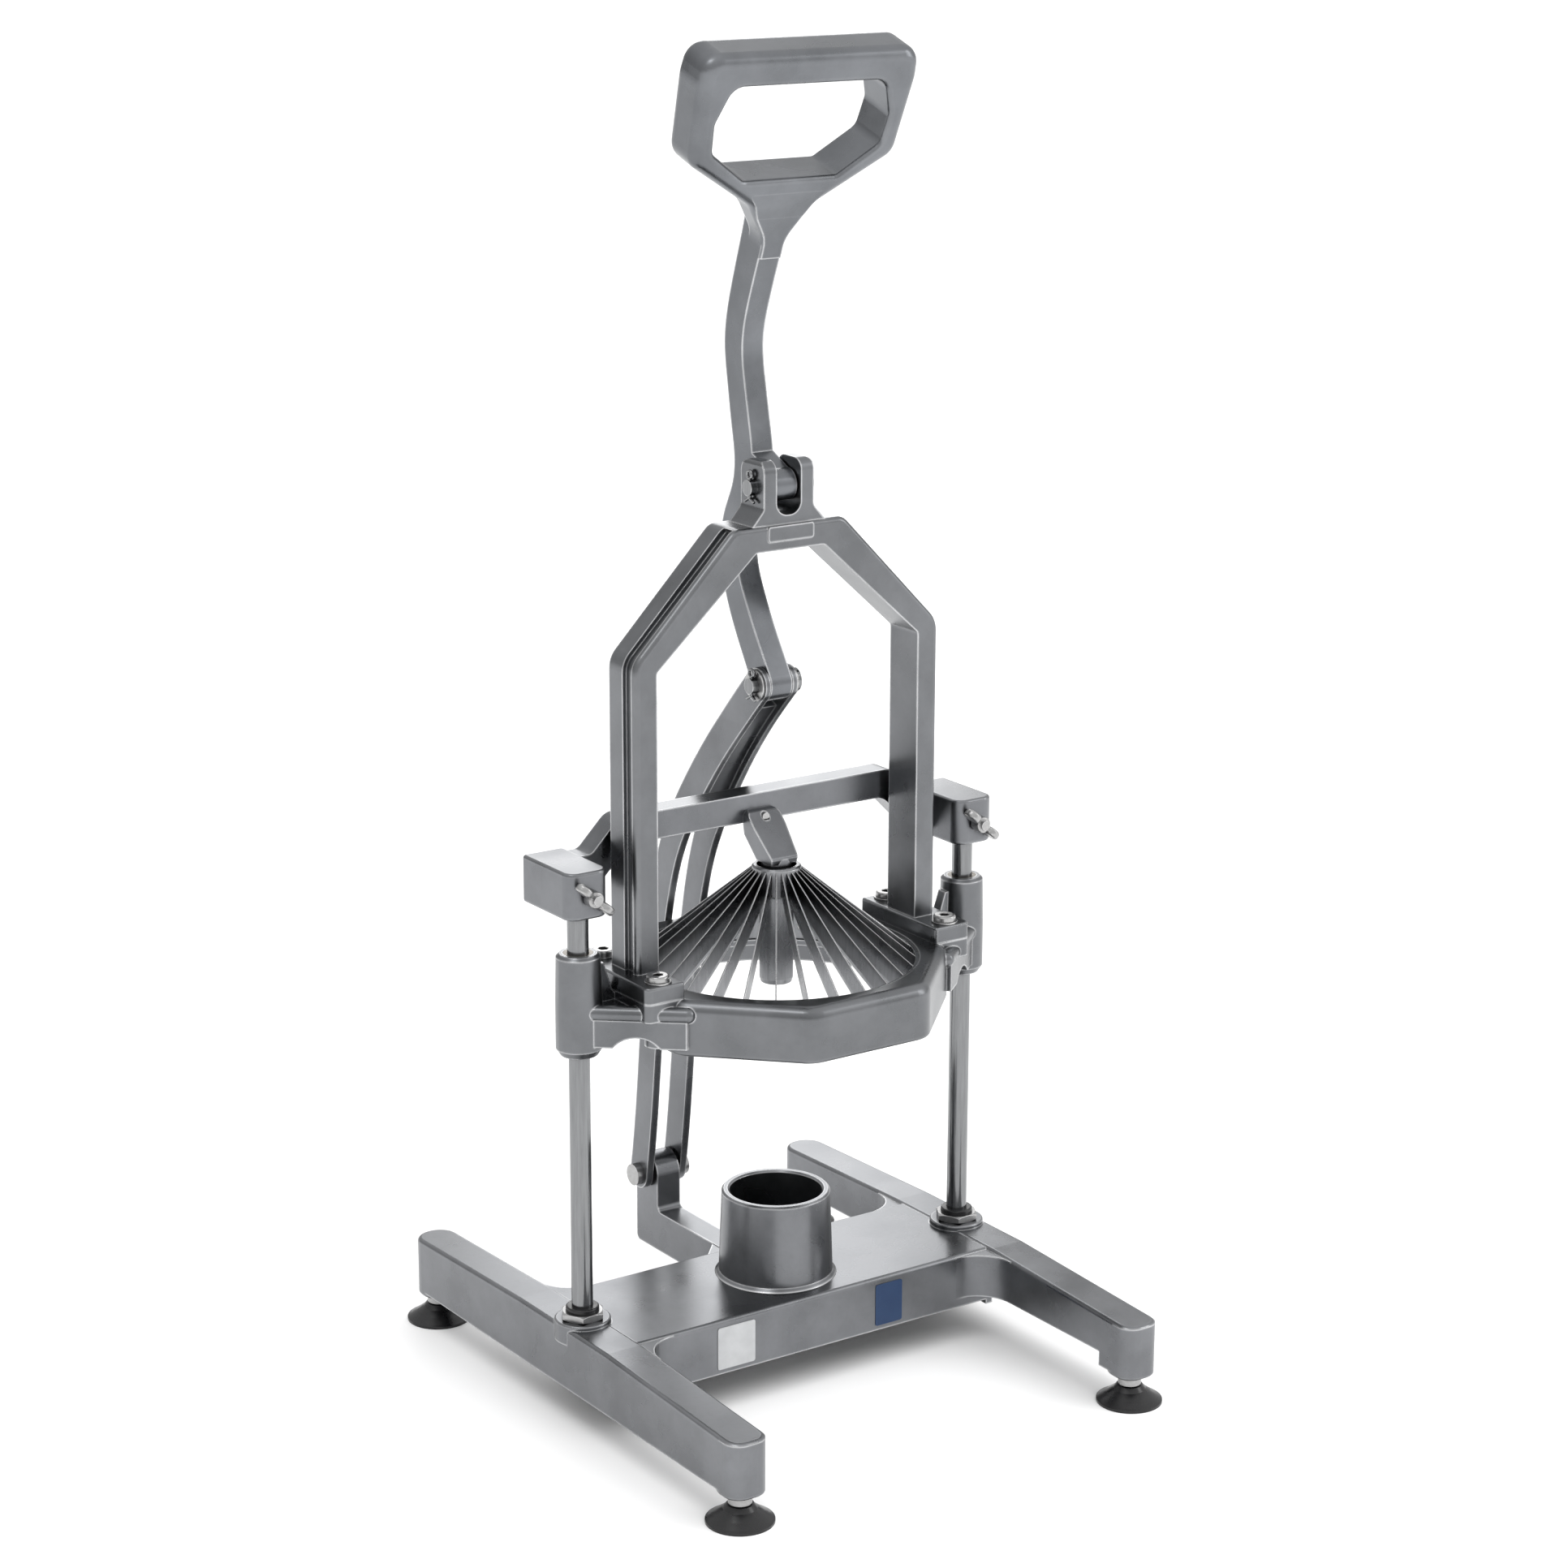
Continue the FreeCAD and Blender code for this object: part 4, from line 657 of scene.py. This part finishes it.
def ring_repeat(name: str, count: int, start_deg: float, part: bpy.types.Object,
                material: bpy.types.Material) -> bpy.types.Object:
    """Copies of a part turned about Z at equal steps.

    Args:
        name: The finished piece's name.
        count: How many copies.
        start_deg: The first copy's turn.
        part: The part, already at its distance from the axis.
        material: Its material.

    Returns:
        The finished piece.
    """
    tree = Repeat(name + "_tree")
    number = tree.size("Count", "NodeSocketInt", count)
    first = tree.size("Start Angle", "NodeSocketFloat", math.radians(start_deg))
    line = tree.node("GeometryNodeMeshLine", {"Count": number, "Offset": (0.0, 0.0, 0.0)})
    index = tree.node("GeometryNodeInputIndex", {})
    step = tree.node("ShaderNodeMath", {0: math.tau, 1: number}, operation="DIVIDE")
    angle = tree.node("ShaderNodeMath", {0: index.outputs[0], 1: step.outputs[0], 2: first},
                      operation="MULTIPLY_ADD")
    turn = tree.node("ShaderNodeCombineXYZ", {"Z": angle.outputs[0]})
    tree.finish(line.outputs["Mesh"], turn.outputs["Vector"], part, material)
    return tree.plain_mesh(name, part)


def grid_repeat(name: str, size_x: float, size_y: float, step: float, part: bpy.types.Object,
                material: bpy.types.Material) -> bpy.types.Object:
    """Four copies of a part at the corners of a rectangle about the axis.

    Args:
        name: The finished piece's name.
        size_x: The rectangle's width.
        size_y: The rectangle's depth.
        step: How much further each copy is turned, in radians.
        part: The part, already at its height.
        material: Its material.

    Returns:
        The finished piece.
    """
    tree = Repeat(name + "_tree")
    wide = tree.size("Size X", "NodeSocketFloat", size_x)
    deep = tree.size("Size Y", "NodeSocketFloat", size_y)
    corners = tree.node("GeometryNodeMeshGrid",
                        {"Size X": wide, "Size Y": deep, "Vertices X": 2, "Vertices Y": 2})
    index = tree.node("GeometryNodeInputIndex", {})
    further = tree.size("Step", "NodeSocketFloat", step)
    angle = tree.node("ShaderNodeMath", {0: index.outputs[0], 1: further}, operation="MULTIPLY")
    turn = tree.node("ShaderNodeCombineXYZ", {"Z": angle.outputs[0]})
    tree.finish(corners.outputs["Mesh"], turn.outputs["Vector"], part, material)
    return tree.plain_mesh(name, part)


# ---------------------------------------------------------------- sub-assemblies

@dataclass
class BladeFan:
    """The blades, each ground to a sharp lower edge, set round the hub like spokes."""

    count: int = 28
    start_deg: float = 3.97
    thickness: float = 0.8 * MM
    height: float = 16.0 * MM
    ground: float = 3.0 * MM
    hub_overlap: float = 1.0 * MM
    hub_drop: float = 2.0 * MM
    ring_inset: float = 2.4 * MM

    def spoke(self) -> bpy.types.Object:
        """One blade along +X, with its bevel ground along the lower edge.

        Returns:
            The blade.
        """
        hub_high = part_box("blade_hub")[1]
        ring_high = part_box("blade_ring")[1]
        inner, outer = hub_high[0] - self.hub_overlap, ring_high[0] - self.ring_inset
        slope = (hub_high[2] - self.hub_drop - ring_high[2]) / (hub_high[0] - outer)
        ends = [(inner, ring_high[2] + slope * (inner - outer)), (outer, ring_high[2])]
        half = self.thickness / 2
        section = [(0.0, -self.height), (half, -self.height + self.ground), (half, 0.0),
                   (-half, 0.0), (-half, -self.height + self.ground)]
        mesh = bmesh.new()
        loops = [[mesh.verts.new((x, y, top + z)) for y, z in section] for x, top in ends]
        for i in range(len(section)):
            j = (i + 1) % len(section)
            mesh.faces.new((loops[0][i], loops[0][j], loops[1][j], loops[1][i]))
        mesh.faces.new(loops[0])
        mesh.faces.new(reversed(loops[1]))
        bmesh.ops.recalc_face_normals(mesh, faces=mesh.faces)
        return as_object("blade_spoke", mesh)

    def build(self, material: bpy.types.Material) -> bpy.types.Object:
        """Make the fan and stand it in for the CAD blades.

        Args:
            material: The blades' material.

        Returns:
            The fan.
        """
        fan = ring_repeat("blade_fan", self.count, self.start_deg, self.spoke(), material)
        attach(fan, Body.CARRIAGE.value)
        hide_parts("blades")
        return fan


@dataclass
class ArchBolts:
    """The four low-headed bolts through the arch's feet."""

    head_r: float = 6.8 * MM
    head_h: float = 3.6 * MM
    socket: float = 2.75 * MM
    socket_depth: float = 2.4 * MM
    socket_lip: float = 0.2 * MM
    socket_flare: float = 1.12
    dome: float = 1.1 * MM
    dome_steps: int = 5
    shank_r: float = 4.0 * MM
    turn_step: float = 0.7
    segments: int = 48

    def bolt(self, seat: float, foot: float) -> bpy.types.Object:
        """One bolt about Z: a domed head with a hexagon socket, on a plain shank.

        Args:
            seat: The height that its head rests at.
            foot: The height that its shank ends at.

        Returns:
            The bolt.
        """
        top = seat + self.head_h
        rim = [(self.head_r - self.dome * (1 - math.sin(a)), top - self.dome * (1 - math.cos(a)))
               for a in (math.pi / 2 * i / self.dome_steps for i in range(self.dome_steps + 1))]
        profile = [(0.0, top - self.socket_depth), (self.socket, top - self.socket_depth),
                   (self.socket, top - self.socket_lip), (self.socket * self.socket_flare, top)]
        profile += rim + [(self.head_r, seat), (self.shank_r, seat), (self.shank_r, foot),
                          (0.0, foot)]
        mesh = lathe(profile, self.segments)
        for vert in mesh.verts:
            self.square_off(vert, top)
        return as_object("arch_bolt", mesh)

    def square_off(self, vert: bmesh.types.BMVert, top: float) -> None:
        """Move a point of the round socket out to the hexagon's side.

        Args:
            vert: The point.
            top: The head's height.
        """
        radius = math.hypot(vert.co.x, vert.co.y)
        in_socket = CLOSE < radius < self.socket * self.socket_flare + CLOSE
        if not in_socket or vert.co.z < top - self.socket_depth - CLOSE:
            return
        sector = math.atan2(vert.co.y, vert.co.x) % (math.pi / 3) - math.pi / 6
        grow = 1.0 / math.cos(sector)
        vert.co.x *= grow
        vert.co.y *= grow

    def build(self, material: bpy.types.Material) -> bpy.types.Object:
        """Make the four bolts and stand them in for the CAD bolts.

        Args:
            material: The bolts' material.

        Returns:
            The bolts.
        """
        low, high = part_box("arch_bolts")
        part = self.bolt(high[2] - self.head_h, low[2])
        reach = 2 * (high[0] - self.head_r), 2 * (high[1] - self.head_r)
        bolts = grid_repeat("arch_bolt_set", *reach, self.turn_step, part, material)
        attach(bolts, Body.CARRIAGE.value)
        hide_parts("arch_bolts")
        return bolts


class Castings:
    """Every CAD node that is shown as it is, dressed by its material slot."""

    def dress(self, materials: dict[str, bpy.types.Material]) -> None:
        """Give each CAD node the finish of its slot.

        Args:
            materials: The finish of each slot.
        """
        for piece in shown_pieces():
            slot = node_slot(piece)
            if slot is None:
                continue
            piece.data.materials.clear()
            piece.data.materials.append(materials[slot])
            log.info("dressed %s with %s", piece.name, slot)


def node_slot(piece: bpy.types.Object) -> str | None:
    """The record's material slot of a CAD node, or None for another piece."""
    return SLOT_OF_NODE.get(piece.get("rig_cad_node"))


# ---------------------------------------------------------------- studio

@dataclass(frozen=True)
class Softbox:
    """A rectangular lamp that faces the machine's middle."""

    name: str
    place: Place
    size: tuple[float, float]
    watts: float
    aim: Place = (0.0, 0.0, 0.4)

    def light(self) -> None:
        """Hang the lamp."""
        data = bpy.data.lights.new(self.name, "AREA")
        data.shape = "RECTANGLE"
        data.size, data.size_y = self.size
        data.energy = self.watts
        lamp = bpy.data.objects.new(self.name, data)
        bpy.context.scene.collection.objects.link(lamp)
        lamp.location = self.place
        way = Vector(self.aim) - Vector(self.place)
        lamp.rotation_euler = way.to_track_quat("-Z", "Y").to_euler()


SOFTBOXES = (
    Softbox("key", (2.2, -1.6, 1.4), (0.9, 1.8), 13.0),
    Softbox("rim", (1.4, 2.2, 1.3), (0.7, 1.6), 8.0),
    Softbox("top_left", (-1.2, -0.4, 2.6), (1.0, 0.7), 7.0),
)


@dataclass
class Studio:
    """The pale floor, the soft light and the camera."""

    azimuth_deg: float = -34.61
    elevation_deg: float = 15.44
    roll_deg: float = 0.16
    distance: float = 2.3131
    aside: float = 0.00435
    height: float = 0.35652
    lens_mm: float = 85.4
    sensor_mm: float = 36.0
    floor_half: float = 40.0
    floor_shade: float = 0.93
    brightest_way: Place = (0.20, -0.25, 0.95)
    sky_low: float = 0.10
    sky_high: float = 1.15
    overhead_energy: float = 1.5
    overhead_spread_deg: float = 70.0
    overhead_way: Place = (-0.28, 0.30, -1.0)

    def floor(self) -> bpy.types.Object:
        """A plain pale floor under the feet.

        Returns:
            The floor.
        """
        mesh = bmesh.new()
        half = self.floor_half
        corners = [mesh.verts.new((x, y, 0.0)) for x, y in
                   ((-half, -half), (half, -half), (half, half), (-half, half))]
        mesh.faces.new(corners)
        ground = as_object("floor", mesh)
        ground.location.z = CAD_BOUNDS[0][2]
        graph = Graph("floor_paper")
        shade = self.floor_shade
        graph.feed(graph.shader, Base_Color=(shade, shade, shade, 1.0), Roughness=0.9,
                   Specular_IOR_Level=0.1)
        ground.data.materials.append(graph.material)
        ground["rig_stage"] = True
        return ground

    def sky(self) -> None:
        """Soft light from all round, strongest from above."""
        world = bpy.data.worlds.new("studio")
        bpy.context.scene.world = world
        world.use_nodes = True
        tree = world.node_tree
        tree.nodes.clear()
        place = tree.nodes.new("ShaderNodeTexCoord")
        dot = tree.nodes.new("ShaderNodeVectorMath")
        dot.operation = "DOT_PRODUCT"
        dot.inputs[1].default_value = Vector(self.brightest_way).normalized()
        ramp = tree.nodes.new("ShaderNodeMapRange")
        for key, value in (("From Min", -1.0), ("From Max", 1.0),
                           ("To Min", self.sky_low), ("To Max", self.sky_high)):
            ramp.inputs[key].default_value = value
        light = tree.nodes.new("ShaderNodeBackground")
        out = tree.nodes.new("ShaderNodeOutputWorld")
        tree.links.new(place.outputs["Generated"], dot.inputs[0])
        tree.links.new(dot.outputs["Value"], ramp.inputs["Value"])
        tree.links.new(ramp.outputs["Result"], light.inputs["Strength"])
        tree.links.new(light.outputs["Background"], out.inputs["Surface"])
        light.inputs["Color"].default_value = (1.0, 1.0, 1.0, 1.0)

    def overhead(self, ground: bpy.types.Object) -> None:
        """A broad, even light from above that keeps the floor pale to the horizon.

        Args:
            ground: The floor, which is all that it lights.
        """
        data = bpy.data.lights.new("overhead", "SUN")
        data.energy = self.overhead_energy
        data.angle = math.radians(self.overhead_spread_deg)
        lamp = bpy.data.objects.new("overhead", data)
        bpy.context.scene.collection.objects.link(lamp)
        lamp.rotation_euler = Vector(self.overhead_way).to_track_quat("-Z", "Y").to_euler()
        lit = bpy.data.collections.new("floor_only")
        lit.objects.link(ground)
        lamp.light_linking.receiver_collection = lit

    def camera(self) -> None:
        """The camera, a little above the machine's crown and to its left."""
        azimuth, elevation = math.radians(self.azimuth_deg), math.radians(self.elevation_deg)
        right = Vector((math.cos(azimuth), math.sin(azimuth), 0.0))
        back = Vector((math.sin(azimuth) * math.cos(elevation),
                       -math.cos(azimuth) * math.cos(elevation), math.sin(elevation)))
        up = back.cross(right)
        place = right * self.aside + up * self.height + back * self.distance
        turn = Matrix((right, up, back)).transposed()
        data = bpy.data.cameras.new("camera")
        data.lens = self.lens_mm
        data.sensor_width = self.sensor_mm
        made = bpy.data.objects.new("camera", data)
        bpy.context.scene.collection.objects.link(made)
        roll = Matrix.Rotation(math.radians(self.roll_deg), 3, "Z")
        made.matrix_world = Matrix.Translation(place) @ (turn @ roll).to_4x4()
        bpy.context.scene.camera = made

    def build(self) -> None:
        """Set the studio up."""
        ground = self.floor()
        self.sky()
        self.overhead(ground)
        for softbox in SOFTBOXES:
            softbox.light()
        self.camera()
        bpy.context.scene.view_settings.view_transform = "Standard"


# ---------------------------------------------------------------- main


def main() -> None:
    """Dress the CAD nodes, build the finer pieces and set up the studio."""
    logging.basicConfig(level=logging.INFO, format="%(name)s: %(message)s")
    for body, nodes in frame["record"]["behaviour"]["bodies"].items():
        log.info("body %s has %d CAD nodes", body, len(nodes))
    materials = {slot.value: finish.material(slot.value) for slot, finish in FINISHES.items()}
    Castings().dress(materials)
    for builder, slot in ((BladeFan(), Slot.BLADE), (ArchBolts(), Slot.ZINC)):
        piece = builder.build(materials[slot.value])
        log.info("built %s with %d faces", piece.name, len(piece.data.polygons))
    Studio().build()


if __name__ == "__main__":
    main()
